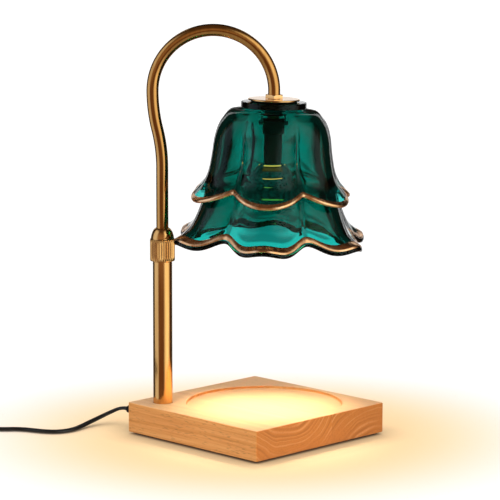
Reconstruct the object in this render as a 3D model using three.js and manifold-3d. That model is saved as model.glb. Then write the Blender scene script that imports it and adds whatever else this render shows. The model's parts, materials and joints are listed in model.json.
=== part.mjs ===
// Candle warmer lamp: a wooden base with a shallow tray, a stem with a clamp nut, a gooseneck
// that slides and turns in the stem, and a two-tier petal glass shade round a halogen bulb.
// Millimetres, +Z up. Origin: underside of the pad, below the middle of the base.
// +X runs along the arm, from the stem to the shade. The base stands corner-on to that line.
import * as THREE from "three";
import { mergeVertices } from "three/addons/utils/BufferGeometryUtils.js";
import Module from "manifold-3d";

const wasm = await Module();
wasm.setup();

// Clearance between neighbouring pieces, and how far a cutting tool runs past a face
const gap = 0.3;
const overrun = 2;

// Wooden base
const baseSide = 150;
const blockHeight = 25;
const blockBevel = 0.8;
const padThickness = 1.2;
const padInset = 4;
const trayRadius = 64.5;
const trayDepth = 2.5;
const trayShift = 7;
const trayFillet = 1.4;

// Stem tube and how it is held in the block
const stemOffset = 77;
const stemRadius = 8;
const stemWall = 1;
const stemTop = 145.3;
const pocketRadius = 17;
const pocketDepth = 4;
const flangeRadius = 16;
const flangeThickness = 2;
const spigotHeight = 4;
const footScrews = 3;
const footScrewCircle = 11.8;
const footScrewTurn = 75;
const footScrewRadius = 1.4;
const footScrewLength = 11;
const footHeadRadius = 2.8;
const footHeadHeight = 1.1;

// Cord boot in the side of the block
const cordHoleHeight = 14;
const cordTurn = 135;
const bootRadius = 3.8;
const bootInside = 10;
const bootCollarRadius = 6;
const bootCollarThickness = 1.5;
const bootLength = 20;
const bootTipRadius = 3.1;

// Flat two-core cord
const cordWidth = 5;
const cordThickness = 3;
const leadBend = 6;
const leadRise = 8;
const slackRadius = 3.2;
const slackTurns = 1.5;

// Clamp at the top of the stem
const clampSpigot = 18;
const threadRadius = 7.7;
const threadHeight = 12.7;
const seatDepth = 4.5;
const seatMouth = 7.2;
const colletHeight = 9.5;
const colletRadius = 7;
const colletLand = 1.8;
const colletTipRadius = 5.8;
const colletLower = 2.1;
const colletSlit = 1;
const nutRadius = 10.25;
const nutKnurlHeight = 17.9;
const nutDomeHeight = 9.1;
const nutTopRadius = 7.4;
// shares of the dome's fall in radius and of its height
const domeShares = [[0.92, 0.29], [0.71, 0.64], [0.38, 0.9]];
const nutBevel = 0.7;
const nutTopBore = 5.6;
const knurls = 32;
const knurlDepth = 0.6;

// Gooseneck
const neckRadius = 5;
const neckWall = 1;
const neckBottom = 74;
const ringHeight = 2;
const ringWall = 1.1;
const bushHeight = 10;
const archTop = 340;
const archRadius = 49.5;
const bulge = 7.7;
const bendHeight = 62.8;
const overBend = 1.4;
const flangeDrop = 7.4;
const neckThread = 14.5;

// Shade clamp, from the top nut to the inner nut
const hexWidth = 14;
const topNutHeight = 3.1;
const discRadius = 21.3;
const discThickness = 1.4;
const discEdge = 0.4;
const gasketThickness = 0.5;
const topGasketRadius = 19;
const innerGasketRadius = 14;
const washerRadius = 16;
const washerThickness = 1.2;
const innerNutHeight = 3.6;

// Two-tier glass shade. Depths are below the top of its collar.
const petals = 6;
const petalTurn = -4;
const glassWall = 4.5;
const glassHole = 6.5;
const glassTop = 5;
const collarRadius = 26.8;
const collarHeight = 4.7;
const collarBevel = 0.6;
const upperRimRadius = 68.8;
const upperTipDepth = 78;
const upperCuspDepth = 68;
const upperLip = 3;
const rootRadius = 55.2;
const rootTipDepth = 66.5;
const rootCuspDepth = 62.5;
const lowerRimRadius = 83.5;
const lowerTipDepth = 110;
const lowerValleyRise = 5;
const lowerShoulderDrop = 2;
const rimNose = 1.5;
// shares of the tier's depth and of its rim radius, down the middle of a petal
const upperShares = [
  [0.072, 0.414], [0.096, 0.523], [0.18, 0.619], [0.264, 0.683], [0.39, 0.733], [0.515, 0.757],
  [0.642, 0.779], [0.77, 0.814], [0.87, 0.872], [0.933, 0.935], [1, 1],
];
// shares of the way from the root to the rim, in depth and in radius, and the crease's share
const lowerShares = [
  [0, 0, 0.85], [0.218, 0.081, 0.855], [0.39, 0.187, 0.855], [0.54, 0.293, 0.85],
  [0.678, 0.417, 0.84], [0.793, 0.558, 0.82], [0.876, 0.71, 0.8], [0.954, 0.876, 0.785],
  [1, 1, 0.77],
];
const creaseShare = 0.8;
const creaseFullShare = 0.5;
const creaseStartShare = 0.05;
const waveShare = 0.65;
const cuspPower = 1.85;
const petalSteps = 8;

// Lamp holder and reflector bulb
const holderWidth = 17;
const holderDepth = 28;
const holderTop = 15.1;
const holderHeight = 10.5;
const bracketThickness = 1;
const bracketDepth = 12;
const bracketLeg = 12;
const holderScrewRadius = 1.2;
const holderScrewLength = 4.5;
const holderHeadRadius = 2.5;
const holderHeadHeight = 1.5;
const holderScrewDrop = 2.6;
const pinSpacing = 10;
const pinRadius = 1.25;
const pinHeadRadius = 2.4;
const pinHeadHeight = 2.5;
const pinLength = 6.5;
const bulbBaseWidth = 14.5;
const bulbBaseDepth = 24;
const bulbBaseHeight = 24.4;
const reflectorHeight = 28.8;
const reflectorRadius = 25;
const reflectorNeck = 9;
const reflectorWall = 1.2;
const reflectorRim = 2.4;
const lensThickness = 2;
const capsuleRadius = 4.5;
const capsuleLength = 21;
// shares of the reflector's height and of its flare
const flareShares = [[0, 0], [0.1, 0.22], [0.3, 0.5], [0.55, 0.76], [0.8, 0.93], [0.92, 1]];

// In-line dimmer, lying behind the coil of cord
const dimmerX = -308;
const dimmerY = 88;
const dimmerLength = 60;
const dimmerWidth = 28;
const dimmerHeight = 16;
const dimmerWall = 1.6;
const dimmerSplit = 7;
const sleeveRadius = 4.6;
const sleeveLength = 20;
const sleeveTipRadius = 3.1;
const postRadius = 3;
const postInset = 5;
const shellScrewRadius = 1.2;
const shellScrewLength = 11;
const shellHeadRadius = 2.2;
const shellHeadHeight = 1.2;
const boardLength = 38;
const boardWidth = 22;
const boardThickness = 1.6;
const wheelRadius = 6.5;
const wheelWidth = 6;
const wheelProud = 1.3;
const wheelTeeth = 20;
const wheelToothDepth = 0.5;
const wheelShaftRadius = 1.5;
const wheelShaftLength = 4;
const potLength = 10;
const potWidth = 7;
const potHeight = 9;

// Coil of spare cord
const coilX = -315;
const coilRadius = 37.5;
const coilPitch = 5.6;
const coilLayer = 3.8;
const coilLayerTurns = 3.125;
const coilDip = 0.75;
const coilDipTurns = 0.75;
const loopSteps = 24;
const returnSteps = 10;
const runSteps = 4;
const returnRadius = 20;
const plugLeadLength = 43;
// shares of the plug lead's length and of its rise to the plug
const plugRiseShares = [[0.35, 0], [0.7, 0.6]];

// Two-blade plug
const plugWidth = 24;
const plugLength = 34;
const plugThickness = 13;
const plugCorner = 4;
const plugBevel = 1.5;
const bladeSpacing = 12.7;
const bladeWidth = 6.35;
const bladeThickness = 1.5;
const bladeLength = 17;

// Places worked out from the sizes above
const blockBottom = padThickness + gap;
const blockTop = blockBottom + blockHeight;
const trayFloor = blockTop - trayDepth;
const pocketTop = blockBottom + pocketDepth;
const stemBore = stemRadius - stemWall;
const faceDistance = baseSide / 2 - stemOffset * Math.SQRT1_2;
const neckBore = neckRadius + gap;
const guideRadius = stemBore - gap;
const ringBottom = neckBottom + gap;
const bushBottom = ringBottom + ringHeight + gap;
const clampBottom = stemTop + gap - clampSpigot;
const threadTop = stemTop + gap + threadHeight;
const seatBottom = threadTop - seatDepth;
const nutBottom = stemTop + gap;
const archCentreHeight = archTop - neckRadius - archRadius;
const bendAngle = 2 * Math.atan(bulge / bendHeight);
const bendRadius = bendHeight / Math.sin(bendAngle) / 2;
const cordFloor = cordThickness / 2 + gap / 3;
const dimmerAxis = dimmerSplit + gap / 2;
const plugAxis = plugThickness / 2;
const coilStart = [dimmerX - dimmerLength / 2 - 2 * gap - sleeveLength, dimmerY];
const coilY = dimmerY - 2 * returnRadius - coilRadius;
const sectionSides = 8;
const roundSides = 24;
const smallSides = 16;
const archSteps = 20;
const bendSteps = 4;
const leadBendSteps = 6;
const slackSteps = 20;
const cordSteps = 40;
const neckSides = 12;
const discSides = 36;
const coilSides = 6;

// The hand-picked route of the free cord from the boot to the dimmer
const cordRoute = [
  [-107.2, 30.2, 14], [-109, 32, 13.98], [-110.8, 33.8, 13.8], [-115.3, 36.7, 12.6],
  [-121.5, 37, 10], [-128.5, 34.6, 7.1], [-135, 30, 4.8], [-140.8, 23.8, 3.2],
  [-145.8, 16.4, 2.2], [-151.2, 8.7, 1.7], [-158.4, 2, 1.6], [-167, -0.9, 1.6],
  [-176, 0.6, 1.6], [-184.5, 3.9, 1.6], [-192.5, 7.2, 1.6], [-200.5, 8.6, 1.6],
  [-208.5, 8.2, 1.6], [-216, 8.6, 1.6], [-223.5, 11.4, 1.6], [-230, 17, 1.6],
  [-234.5, 24.8, 1.6], [-236.2, 34, 1.6], [-236.4, 44, 1.7], [-236.4, 54, 2.4],
  [-236.4, 64, 4.2], [-237.2, 73, 5.9], [-240.6, 80.6, 6.9], [-246, 86, 7.15],
  [-251.4, 88, 7.15], [-254.4, 88, 7.15], [-257.2, 88, 7.15],
];

// Geometry helpers

function merged(geometry) {
  const bare = geometry.clone();
  bare.deleteAttribute("normal");
  bare.deleteAttribute("uv");
  return mergeVertices(bare);
}

function solidOf(geometry) {
  const g = merged(geometry);
  const vertProperties = new Float32Array(g.attributes.position.array);
  const triVerts = new Uint32Array(g.index.array);
  return new wasm.Manifold(new wasm.Mesh({ numProp: 3, vertProperties, triVerts }));
}

function geometryOf(solid) {
  const mesh = solid.getMesh();
  const g = new THREE.BufferGeometry();
  g.setAttribute("position", new THREE.BufferAttribute(mesh.vertProperties, 3));
  g.setIndex(new THREE.BufferAttribute(mesh.triVerts, 1));
  g.computeVertexNormals();
  return g;
}

function cut(geometry, ...tools) {
  const solid = tools.reduce((rest, tool) => rest.subtract(solidOf(tool)), solidOf(geometry));
  return geometryOf(solid);
}

function join(geometry, ...others) {
  const solid = others.reduce((whole, other) => whole.add(solidOf(other)), solidOf(geometry));
  return geometryOf(solid);
}

// A profile of [radius, height] pairs turned round Z. A profile that isn't on the axis is closed.
function turned(profile, sides = roundSides) {
  const points = profile.map(([r, z]) => new THREE.Vector2(r, z));
  const area = points.reduce((sum, p, i) => sum + p.cross(points[(i + 1) % points.length]), 0);
  if (area < 0) points.reverse();
  if (points[0].x > 0 || points[points.length - 1].x > 0) points.push(points[0].clone());
  return new THREE.LatheGeometry(points, sides).rotateX(Math.PI / 2);
}

function ring(outer, inner, low, high, sides = roundSides) {
  return turned([[inner, low], [outer, low], [outer, high], [inner, high]], sides);
}

function rod(radius, low, high, sides = smallSides) {
  return turned([[0, low], [radius, low], [radius, high], [0, high]], sides);
}

function block(xs, ys, zs) {
  const g = new THREE.BoxGeometry(xs[1] - xs[0], ys[1] - ys[0], zs[1] - zs[0]);
  return g.translate((xs[0] + xs[1]) / 2, (ys[0] + ys[1]) / 2, (zs[0] + zs[1]) / 2);
}

function circlePath(radius, sides, Kind = THREE.Path) {
  const outline = new Kind();
  for (let i = 0; i < sides; i++) {
    const a = (2 * Math.PI * i) / sides;
    const move = i ? "lineTo" : "moveTo";
    outline[move](radius * Math.cos(a), radius * Math.sin(a));
  }
  outline.closePath();
  return outline;
}

// A hexagon nut with a plain bore, its flats towards +X and -X
function hexNut(low, height) {
  const outline = circlePath(hexWidth / Math.sqrt(3), 6, THREE.Shape);
  outline.holes.push(circlePath(neckBore, smallSides));
  const g = new THREE.ExtrudeGeometry(outline, { depth: height, bevelEnabled: false });
  return g.rotateZ(Math.PI / 6).translate(0, 0, low);
}

// A toothed disc: two outline points a tooth
function toothedShape(radius, teeth, depth) {
  const outline = new THREE.Shape();
  for (let i = 0; i < 2 * teeth; i++) {
    const a = (Math.PI * i) / teeth;
    const r = i % 2 ? radius - depth : radius;
    const move = i ? "lineTo" : "moveTo";
    outline[move](r * Math.cos(a), r * Math.sin(a));
  }
  outline.closePath();
  return outline;
}

function roundedRectangle(width, height, corner) {
  const w = width / 2 - corner;
  const h = height / 2 - corner;
  const outline = new THREE.Shape();
  outline.absarc(w, h, corner, 0, Math.PI / 2);
  outline.absarc(-w, h, corner, Math.PI / 2, Math.PI);
  outline.absarc(-w, -h, corner, Math.PI, 1.5 * Math.PI);
  outline.absarc(w, -h, corner, 1.5 * Math.PI, 2 * Math.PI);
  return outline;
}

// A tube's centre line in the XZ plane, as straights and bends, with steps chosen for each piece.
class BentLine extends THREE.Curve {
  constructor(start, heading, pieces) {
    super();
    this.stops = [];
    let at = start.clone();
    let angle = heading;
    for (const { length = 0, radius = 0, turn = 0, steps = 1 } of pieces) {
      const side = Math.sign(turn);
      const centre = at.clone().add(
        new THREE.Vector3(-Math.sin(angle), 0, Math.cos(angle)).multiplyScalar(side * radius),
      );
      for (let i = 0; i < steps; i++) {
        this.stops.push({ at, angle, centre, length, radius, turn, from: i / steps, share: 1 / steps });
      }
      at = this.along(this.stops[this.stops.length - 1], 1);
      angle += turn;
    }
  }
  along({ at, angle, centre, length, radius, turn, from, share }, t) {
    const part = from + share * t;
    if (!turn) {
      const ahead = new THREE.Vector3(Math.cos(angle), 0, Math.sin(angle));
      return at.clone().addScaledVector(ahead, length * part);
    }
    const a = angle + turn * part;
    const side = Math.sign(turn) * radius;
    return centre.clone().add(new THREE.Vector3(Math.sin(a) * side, 0, -Math.cos(a) * side));
  }
  getPoint(t) {
    const place = Math.min(t * this.stops.length, this.stops.length - 1e-9);
    const index = Math.floor(place);
    return this.along(this.stops[index], place - index);
  }
  getUtoTmapping(u) {
    return u;
  }
}

function tubeAlong(line, section, steps) {
  return new THREE.ExtrudeGeometry(section, { steps, extrudePath: line, bevelEnabled: false });
}

// The flat cord's section, with its thickness across the first axis
function cordSection(sides = sectionSides) {
  const section = new THREE.Shape();
  for (let i = 0; i < sides; i++) {
    const a = (2 * Math.PI * (i + 0.5)) / sides;
    const grow = 1 / Math.cos(Math.PI / sides);
    const move = i ? "lineTo" : "moveTo";
    section[move](
      (grow * cordThickness * Math.cos(a)) / 2,
      (grow * cordWidth * Math.sin(a)) / 2,
    );
  }
  section.closePath();
  return section;
}

// Placing and finishes

const lamp = new THREE.Group();
const finishes = {
  beech: { color: 0xd9a468, roughness: 0.55, metalness: 0 },
  rubber: { color: 0x1b1b1c, roughness: 0.8, metalness: 0 },
  brass: { color: 0xb98a4a, roughness: 0.28, metalness: 1 },
  steel: { color: 0xb8bcc0, roughness: 0.35, metalness: 1 },
  nylon: { color: 0xe8e6de, roughness: 0.5, metalness: 0 },
  glass: { color: 0x00847c, roughness: 0.03, metalness: 0 },
  clearGlass: { color: 0xf2f2ea, roughness: 0.05, metalness: 0 },
  mirror: { color: 0xd8d8d4, roughness: 0.1, metalness: 1 },
  ceramic: { color: 0xe9e5da, roughness: 0.6, metalness: 0 },
  cord: { color: 0x141414, roughness: 0.5, metalness: 0 },
  blackPlastic: { color: 0x1c1c1e, roughness: 0.4, metalness: 0 },
  board: { color: 0x2f6b3c, roughness: 0.6, metalness: 0 },
};

function add(name, geometry, finish, group = lamp) {
  const material = new THREE.MeshStandardMaterial(finishes[finish]);
  const mesh = new THREE.Mesh(geometry, material);
  mesh.name = name;
  group.add(mesh);
  return mesh;
}

function groupAt(x, y, z, parent = lamp) {
  const group = new THREE.Group();
  group.position.set(x, y, z);
  parent.add(group);
  return group;
}

// A quarter turn of a piece made along Z so that it points along a level heading
function levelTowards(geometry, heading) {
  return geometry.rotateY(Math.PI / 2).rotateZ(heading);
}

const stem = groupAt(-stemOffset, 0, 0);
const cordHeading = THREE.MathUtils.degToRad(cordTurn);

// Base

function footScrewPlaces() {
  return Array.from({ length: footScrews }, (_, i) => {
    const a = THREE.MathUtils.degToRad(footScrewTurn + (360 * i) / footScrews);
    return [footScrewCircle * Math.cos(a), footScrewCircle * Math.sin(a)];
  });
}

function footScrewHoles(top) {
  return footScrewPlaces().map(([x, y]) =>
    rod(footScrewRadius + gap, 0, top).translate(x - stemOffset, y, 0),
  );
}

function makeBase() {
  const half = baseSide * Math.SQRT1_2 - blockBevel * Math.SQRT2;
  const outline = circlePath(half, 4, THREE.Shape);
  const body = new THREE.ExtrudeGeometry(outline, {
    depth: blockHeight - 2 * blockBevel,
    bevelThickness: blockBevel,
    bevelSize: blockBevel,
    bevelSegments: 1,
  }).translate(0, 0, blockBottom + blockBevel);
  const tray = turned(
    [
      [0, trayFloor],
      [trayRadius - trayFillet, trayFloor],
      [trayRadius - trayFillet / 3, trayFloor + trayFillet / 3],
      [trayRadius, trayFloor + trayFillet],
      [trayRadius, blockTop + overrun],
      [0, blockTop + overrun],
    ],
    2 * roundSides,
  ).translate(trayShift, 0, 0);
  const bore = rod(stemRadius + gap, 0, blockTop + overrun, roundSides).translate(-stemOffset, 0, 0);
  const pocket = rod(pocketRadius, 0, pocketTop, roundSides).translate(-stemOffset, 0, 0);
  const cordHole = levelTowards(rod(bootRadius + gap, 0, faceDistance + overrun), cordHeading);
  cordHole.translate(-stemOffset, 0, cordHoleHeight);
  const screwTop = pocketTop + footScrewLength;
  add("base_block", cut(body, tray, bore, pocket, cordHole, ...footScrewHoles(screwTop)), "beech");

  const padHalf = (baseSide - 2 * padInset) * Math.SQRT1_2;
  const pad = new THREE.ExtrudeGeometry(circlePath(padHalf, 4, THREE.Shape), {
    depth: padThickness,
    bevelEnabled: false,
  });
  add("base_pad", pad, "rubber");
}

function makeFoot() {
  const discTop = pocketTop - gap;
  const flange = turned([
    [0, discTop - flangeThickness],
    [flangeRadius, discTop - flangeThickness],
    [flangeRadius, discTop],
    [guideRadius, discTop],
    [guideRadius, discTop + spigotHeight],
    [0, discTop + spigotHeight],
  ]);
  const holes = footScrewHoles(discTop + overrun).map((g) => g.translate(stemOffset, 0, 0));
  add("foot_flange", cut(flange, ...holes), "steel", stem);
  const headBottom = blockBottom + gap;
  footScrewPlaces().forEach(([x, y], i) => {
    const screw = turned(
      [
        [0, headBottom],
        [footHeadRadius, headBottom],
        [footHeadRadius, headBottom + footHeadHeight],
        [footScrewRadius, headBottom + footHeadHeight],
        [footScrewRadius, headBottom + footHeadHeight + footScrewLength],
        [0, headBottom + footHeadHeight + footScrewLength + footScrewRadius],
      ],
      smallSides,
    );
    add(`foot_screw_${i + 1}`, screw, "steel", stem).position.set(x, y, 0);
  });
}

function makeStem() {
  const tube = ring(stemRadius, stemBore, pocketTop, stemTop);
  const sideHole = levelTowards(rod(cordWidth / 2 + 2 * gap, 0, stemRadius + overrun), cordHeading);
  sideHole.translate(0, 0, cordHoleHeight);
  add("stem_tube", cut(tube, sideHole), "brass", stem);

  const face = faceDistance;
  const boot = turned(
    [
      [0, face - bootInside],
      [bootRadius, face - bootInside],
      [bootRadius, face + gap],
      [bootCollarRadius, face + gap],
      [bootCollarRadius, face + gap + bootCollarThickness],
      [bootRadius, face + gap + bootCollarThickness],
      [bootTipRadius, face + gap + bootCollarThickness + bootLength],
      [0, face + gap + bootCollarThickness + bootLength],
    ],
    smallSides,
  );
  add("cord_boot", levelTowards(boot, cordHeading), "rubber", stem).position.z = cordHoleHeight;
}

// Leads inside the stem and neck

const leadTop = cordHoleHeight + leadBend + leadRise;
const neckLeadBottom = neckBottom - cordThickness;

function makeStemLeads() {
  const start = faceDistance - bootInside - gap;
  const line = new BentLine(new THREE.Vector3(start, 0, cordHoleHeight), Math.PI, [
    { length: start - leadBend },
    { radius: leadBend, turn: -Math.PI / 2, steps: leadBendSteps },
    { length: leadRise },
  ]);
  const lead = tubeAlong(line, cordSection(), line.stops.length).rotateZ(cordHeading);
  add("base_lead", lead, "cord", stem);

  const low = leadTop + gap;
  const high = neckLeadBottom - gap;
  const slack = new THREE.CatmullRomCurve3(
    Array.from({ length: slackSteps / 2 + 1 }, (_, i) => {
      const t = (2 * i) / slackSteps;
      const r = slackRadius * Math.sin(Math.PI * t) ** 2;
      const a = 2 * Math.PI * slackTurns * t;
      return new THREE.Vector3(r * Math.cos(a), r * Math.sin(a), low + (high - low) * t);
    }),
  );
  add("slack_lead", tubeAlong(slack, cordSection(), slackSteps), "cord", stem);
}

function neckPieces(straight, end) {
  return [
    { length: straight },
    { radius: bendRadius, turn: bendAngle, steps: bendSteps },
    { radius: bendRadius, turn: -bendAngle, steps: bendSteps },
    { radius: archRadius, turn: -Math.PI - THREE.MathUtils.degToRad(overBend), steps: archSteps },
    { length: end },
  ];
}

function makeNeck() {
  const bendBottom = archCentreHeight - bendHeight;
  const section = circlePath(neckRadius, neckSides, THREE.Shape);
  section.holes.push(circlePath(neckRadius - neckWall, neckSides));
  const start = new THREE.Vector3(0, 0, neckBottom);
  const bends = neckPieces(bendBottom - neckBottom, flangeDrop + neckThread);
  const line = new BentLine(start, Math.PI / 2, bends);
  add("neck_tube", tubeAlong(line, section, line.stops.length), "brass", stem);

  const leadStart = new THREE.Vector3(0, 0, neckLeadBottom);
  const leadEnd = flangeDrop + holderTop - gap;
  const leadBends = neckPieces(bendBottom - neckLeadBottom, leadEnd);
  const leadLine = new BentLine(leadStart, Math.PI / 2, leadBends);
  add("neck_lead", tubeAlong(leadLine, cordSection(), leadLine.stops.length), "cord", stem);

  const stopRing = ring(neckBore + ringWall, neckBore, ringBottom, ringBottom + ringHeight);
  add("neck_stop_ring", stopRing, "steel", stem);
  add("neck_guide_bush", ring(guideRadius, neckBore, bushBottom, bushBottom + bushHeight), "nylon", stem);
}

// Clamp: threaded body in the stem, split collet, knurled nut

function makeClamp() {
  const body = turned([
    [neckBore, clampBottom],
    [guideRadius, clampBottom],
    [guideRadius, nutBottom],
    [threadRadius, nutBottom],
    [threadRadius, threadTop],
    [seatMouth, threadTop],
    [neckBore, seatBottom],
  ]);
  add("clamp_body", body, "brass", stem);

  const seatSlope = (seatMouth - neckBore) / seatDepth;
  const colletBottom = threadTop - colletLower;
  const lowRadius = seatMouth - colletLower * seatSlope - gap;
  const landBottom = threadTop + gap;
  const colletTop = colletBottom + colletHeight;
  const collet = turned([
    [neckBore, colletBottom],
    [lowRadius, colletBottom],
    [seatMouth - gap, threadTop],
    [colletRadius, landBottom],
    [colletRadius, landBottom + colletLand],
    [colletTipRadius, colletTop],
    [neckBore, colletTop],
  ]);
  const slit = block([0, 2 * colletRadius], [-colletSlit / 2, colletSlit / 2],
    [colletBottom - overrun, colletTop + overrun]);
  add("collet", cut(collet, slit), "nylon", stem);

  const knurlTop = nutBottom + nutKnurlHeight;
  const nutTop = knurlTop + nutDomeHeight;
  const coneBottom = landBottom + colletLand + gap;
  const dome = domeShares.map(([out, up]) => [
    nutTopRadius + (nutRadius - nutTopRadius) * out,
    knurlTop + nutDomeHeight * up,
  ]);
  const nut = turned([
    [threadRadius + gap, nutBottom],
    [nutRadius - nutBevel, nutBottom],
    [nutRadius, nutBottom + nutBevel],
    [nutRadius, knurlTop],
    ...dome,
    [nutTopRadius - nutBevel, nutTop],
    [nutTopBore, nutTop],
    [nutTopBore, colletTop + gap],
    [colletTipRadius + gap, colletTop + gap],
    [colletRadius + gap, coneBottom],
    [threadRadius + gap, coneBottom],
  ], knurls);
  const sleeve = circlePath(nutRadius + overrun, roundSides, THREE.Shape);
  sleeve.holes.push(toothedShape(nutRadius, knurls, knurlDepth));
  const grooves = new THREE.ExtrudeGeometry(sleeve, {
    depth: nutKnurlHeight - 2 * nutBevel,
    bevelEnabled: false,
  }).translate(0, 0, nutBottom + nutBevel);
  add("clamp_nut", cut(nut, grooves), "brass", stem);
}

// Hanging group: its origin is the middle of the glass collar's top, its Z is the shade's axis

const tilt = THREE.MathUtils.degToRad(overBend);
const shadeX = 2 * archRadius * Math.cos(tilt / 2) ** 2 - bulge - flangeDrop * Math.sin(tilt);
const shadeHeight = archCentreHeight - archRadius * Math.sin(tilt) - flangeDrop * Math.cos(tilt);
const hanger = groupAt(shadeX, 0, shadeHeight, stem);
hanger.rotation.y = tilt;

function makeCanopy() {
  const gasketLow = gap;
  const discLow = gasketLow + gasketThickness + gap;
  const nutLow = discLow + discThickness + gap;
  const topGasket = ring(topGasketRadius, neckBore, gasketLow, gasketLow + gasketThickness);
  add("canopy_gasket", topGasket, "rubber", hanger);
  const disc = turned([
    [neckBore, discLow],
    [discRadius - discEdge, discLow],
    [discRadius, discLow + discEdge],
    [discRadius, discLow + discThickness - discEdge],
    [discRadius - discEdge, discLow + discThickness],
    [neckBore, discLow + discThickness],
  ], discSides);
  add("canopy_disc", disc, "brass", hanger);
  add("canopy_nut", hexNut(nutLow, topNutHeight), "brass", hanger);

  const gasketHigh = -glassTop - gap;
  const washerHigh = gasketHigh - gasketThickness - gap;
  const bracketHigh = washerHigh - washerThickness - gap;
  const nutHigh = bracketHigh - bracketThickness - gap;
  const innerGasket = ring(innerGasketRadius, neckBore, gasketHigh - gasketThickness, gasketHigh);
  add("shade_gasket", innerGasket, "rubber", hanger);
  const washer = ring(washerRadius, neckBore, washerHigh - washerThickness, washerHigh);
  add("shade_washer", washer, "steel", hanger);
  add("shade_nut", hexNut(nutHigh - innerNutHeight, innerNutHeight), "steel", hanger);
  makeHolder(bracketHigh);
}

function makeHolder(bracketHigh) {
  const inner = holderWidth / 2 + gap;
  const outer = inner + bracketThickness;
  const legLow = bracketHigh - bracketLeg;
  const strap = new THREE.Shape([
    [-outer, legLow], [-inner, legLow], [-inner, bracketHigh - bracketThickness],
    [inner, bracketHigh - bracketThickness], [inner, legLow], [outer, legLow],
    [outer, bracketHigh], [-outer, bracketHigh],
  ].map(([x, z]) => new THREE.Vector2(x, z)));
  const bracket = new THREE.ExtrudeGeometry(strap, { depth: bracketDepth, bevelEnabled: false });
  bracket.rotateX(Math.PI / 2).translate(0, bracketDepth / 2, 0);
  const screwHeight = -holderTop - holderScrewDrop;
  const screwHole = levelTowards(rod(holderScrewRadius + gap, -outer - overrun, outer + overrun), 0);
  screwHole.translate(0, 0, screwHeight);
  const tubeHole = rod(neckBore, bracketHigh - bracketThickness - overrun, bracketHigh + overrun);
  add("holder_bracket", cut(bracket, screwHole, tubeHole), "steel", hanger);

  const low = -holderTop - holderHeight;
  const body = new THREE.ExtrudeGeometry(roundedRectangle(holderWidth, holderDepth, holderWidth / 8), {
    depth: holderHeight,
    bevelEnabled: false,
    curveSegments: 3,
  }).translate(0, 0, low);
  const sockets = [-1, 1].map((side) =>
    rod(pinHeadRadius + gap, low - overrun, low + pinLength + 2 * gap)
      .translate(0, (side * pinSpacing) / 2, 0),
  );
  const screwBores = [-1, 1].map((side) => {
    const from = holderWidth / 2 - holderScrewLength + bracketThickness - gap;
    const bore = rod(holderScrewRadius + gap, from, holderWidth / 2 + overrun);
    return levelTowards(bore, side > 0 ? 0 : Math.PI).translate(0, 0, screwHeight);
  });
  add("lamp_holder", cut(body, ...sockets, ...screwBores), "ceramic", hanger);
  [-1, 1].forEach((side, i) => {
    const seat = outer + gap;
    const screw = turned([
      [0, seat + holderHeadHeight],
      [holderHeadRadius, seat + holderHeadHeight],
      [holderHeadRadius, seat],
      [holderScrewRadius, seat],
      [holderScrewRadius, seat - holderScrewLength],
      [0, seat - holderScrewLength],
    ], smallSides);
    const placed = levelTowards(screw, side > 0 ? 0 : Math.PI).translate(0, 0, screwHeight);
    add(`holder_screw_${i + 1}`, placed, "steel", hanger);
  });
  makeBulb(low - gap);
}

function makeBulb(top) {
  const neckTop = top - bulbBaseHeight;
  const base = new THREE.ExtrudeGeometry(
    roundedRectangle(bulbBaseWidth, bulbBaseDepth, bulbBaseWidth / 3),
    { depth: bulbBaseHeight, bevelEnabled: false, curveSegments: 4 },
  ).translate(0, 0, neckTop);
  add("bulb_base", base, "ceramic", hanger);
  [-1, 1].forEach((side, i) => {
    const pin = turned([
      [0, top + gap],
      [pinRadius, top + gap],
      [pinRadius, top + pinLength - pinHeadHeight],
      [pinHeadRadius, top + pinLength - pinHeadHeight],
      [pinHeadRadius, top + pinLength],
      [0, top + pinLength],
    ], smallSides);
    add(`bulb_pin_${i + 1}`, pin.translate(0, (side * pinSpacing) / 2, 0), "steel", hanger);
  });
  const flareTop = neckTop - gap;
  const outer = flareShares.map(([down, out]) => [
    reflectorNeck + (reflectorRadius - reflectorNeck) * out,
    flareTop - reflectorHeight * down,
  ]);
  const front = flareTop - reflectorHeight;
  const lensSeat = front + reflectorRim;
  const inner = outer.slice(1, -1).map(([r, z]) => [r - reflectorWall, z - reflectorWall]);
  const reflector = turned([
    [capsuleRadius + gap, flareTop],
    ...outer,
    [reflectorRadius, front],
    [reflectorRadius - reflectorWall, front],
    [reflectorRadius - reflectorWall, lensSeat],
    ...inner.reverse(),
    [capsuleRadius + gap, flareTop - 2 * reflectorWall],
  ]);
  add("bulb_reflector", reflector, "mirror", hanger);
  const lensRadius = reflectorRadius - reflectorWall - gap;
  const lens = rod(lensRadius, lensSeat - gap - lensThickness, lensSeat - gap, roundSides);
  add("bulb_lens", lens, "clearGlass", hanger);
  const capsule = turned([
    [0, flareTop],
    [capsuleRadius, flareTop],
    [capsuleRadius, flareTop - capsuleLength + capsuleRadius],
    [capsuleRadius / 2, flareTop - capsuleLength + capsuleRadius / 4],
    [0, flareTop - capsuleLength],
  ], smallSides);
  add("bulb_capsule", capsule, "clearGlass", hanger);
}

// Glass shade

// Radius of a petal's round outline at angle a from its middle, through its tip and its creases
function lobe(tip, crease, a) {
  const half = Math.PI / petals;
  const centre = (tip ** 2 - crease ** 2) / (2 * (tip - Math.cos(half) * crease));
  const arc = tip - centre;
  return centre * Math.cos(a) + Math.sqrt(Math.max(arc ** 2 - (centre * Math.sin(a)) ** 2, 0));
}

function upperCrease(share) {
  const way = (share - creaseStartShare) / (creaseFullShare - creaseStartShare);
  return 1 - (1 - creaseShare) * Math.min(Math.max(way, 0), 1);
}

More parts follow.
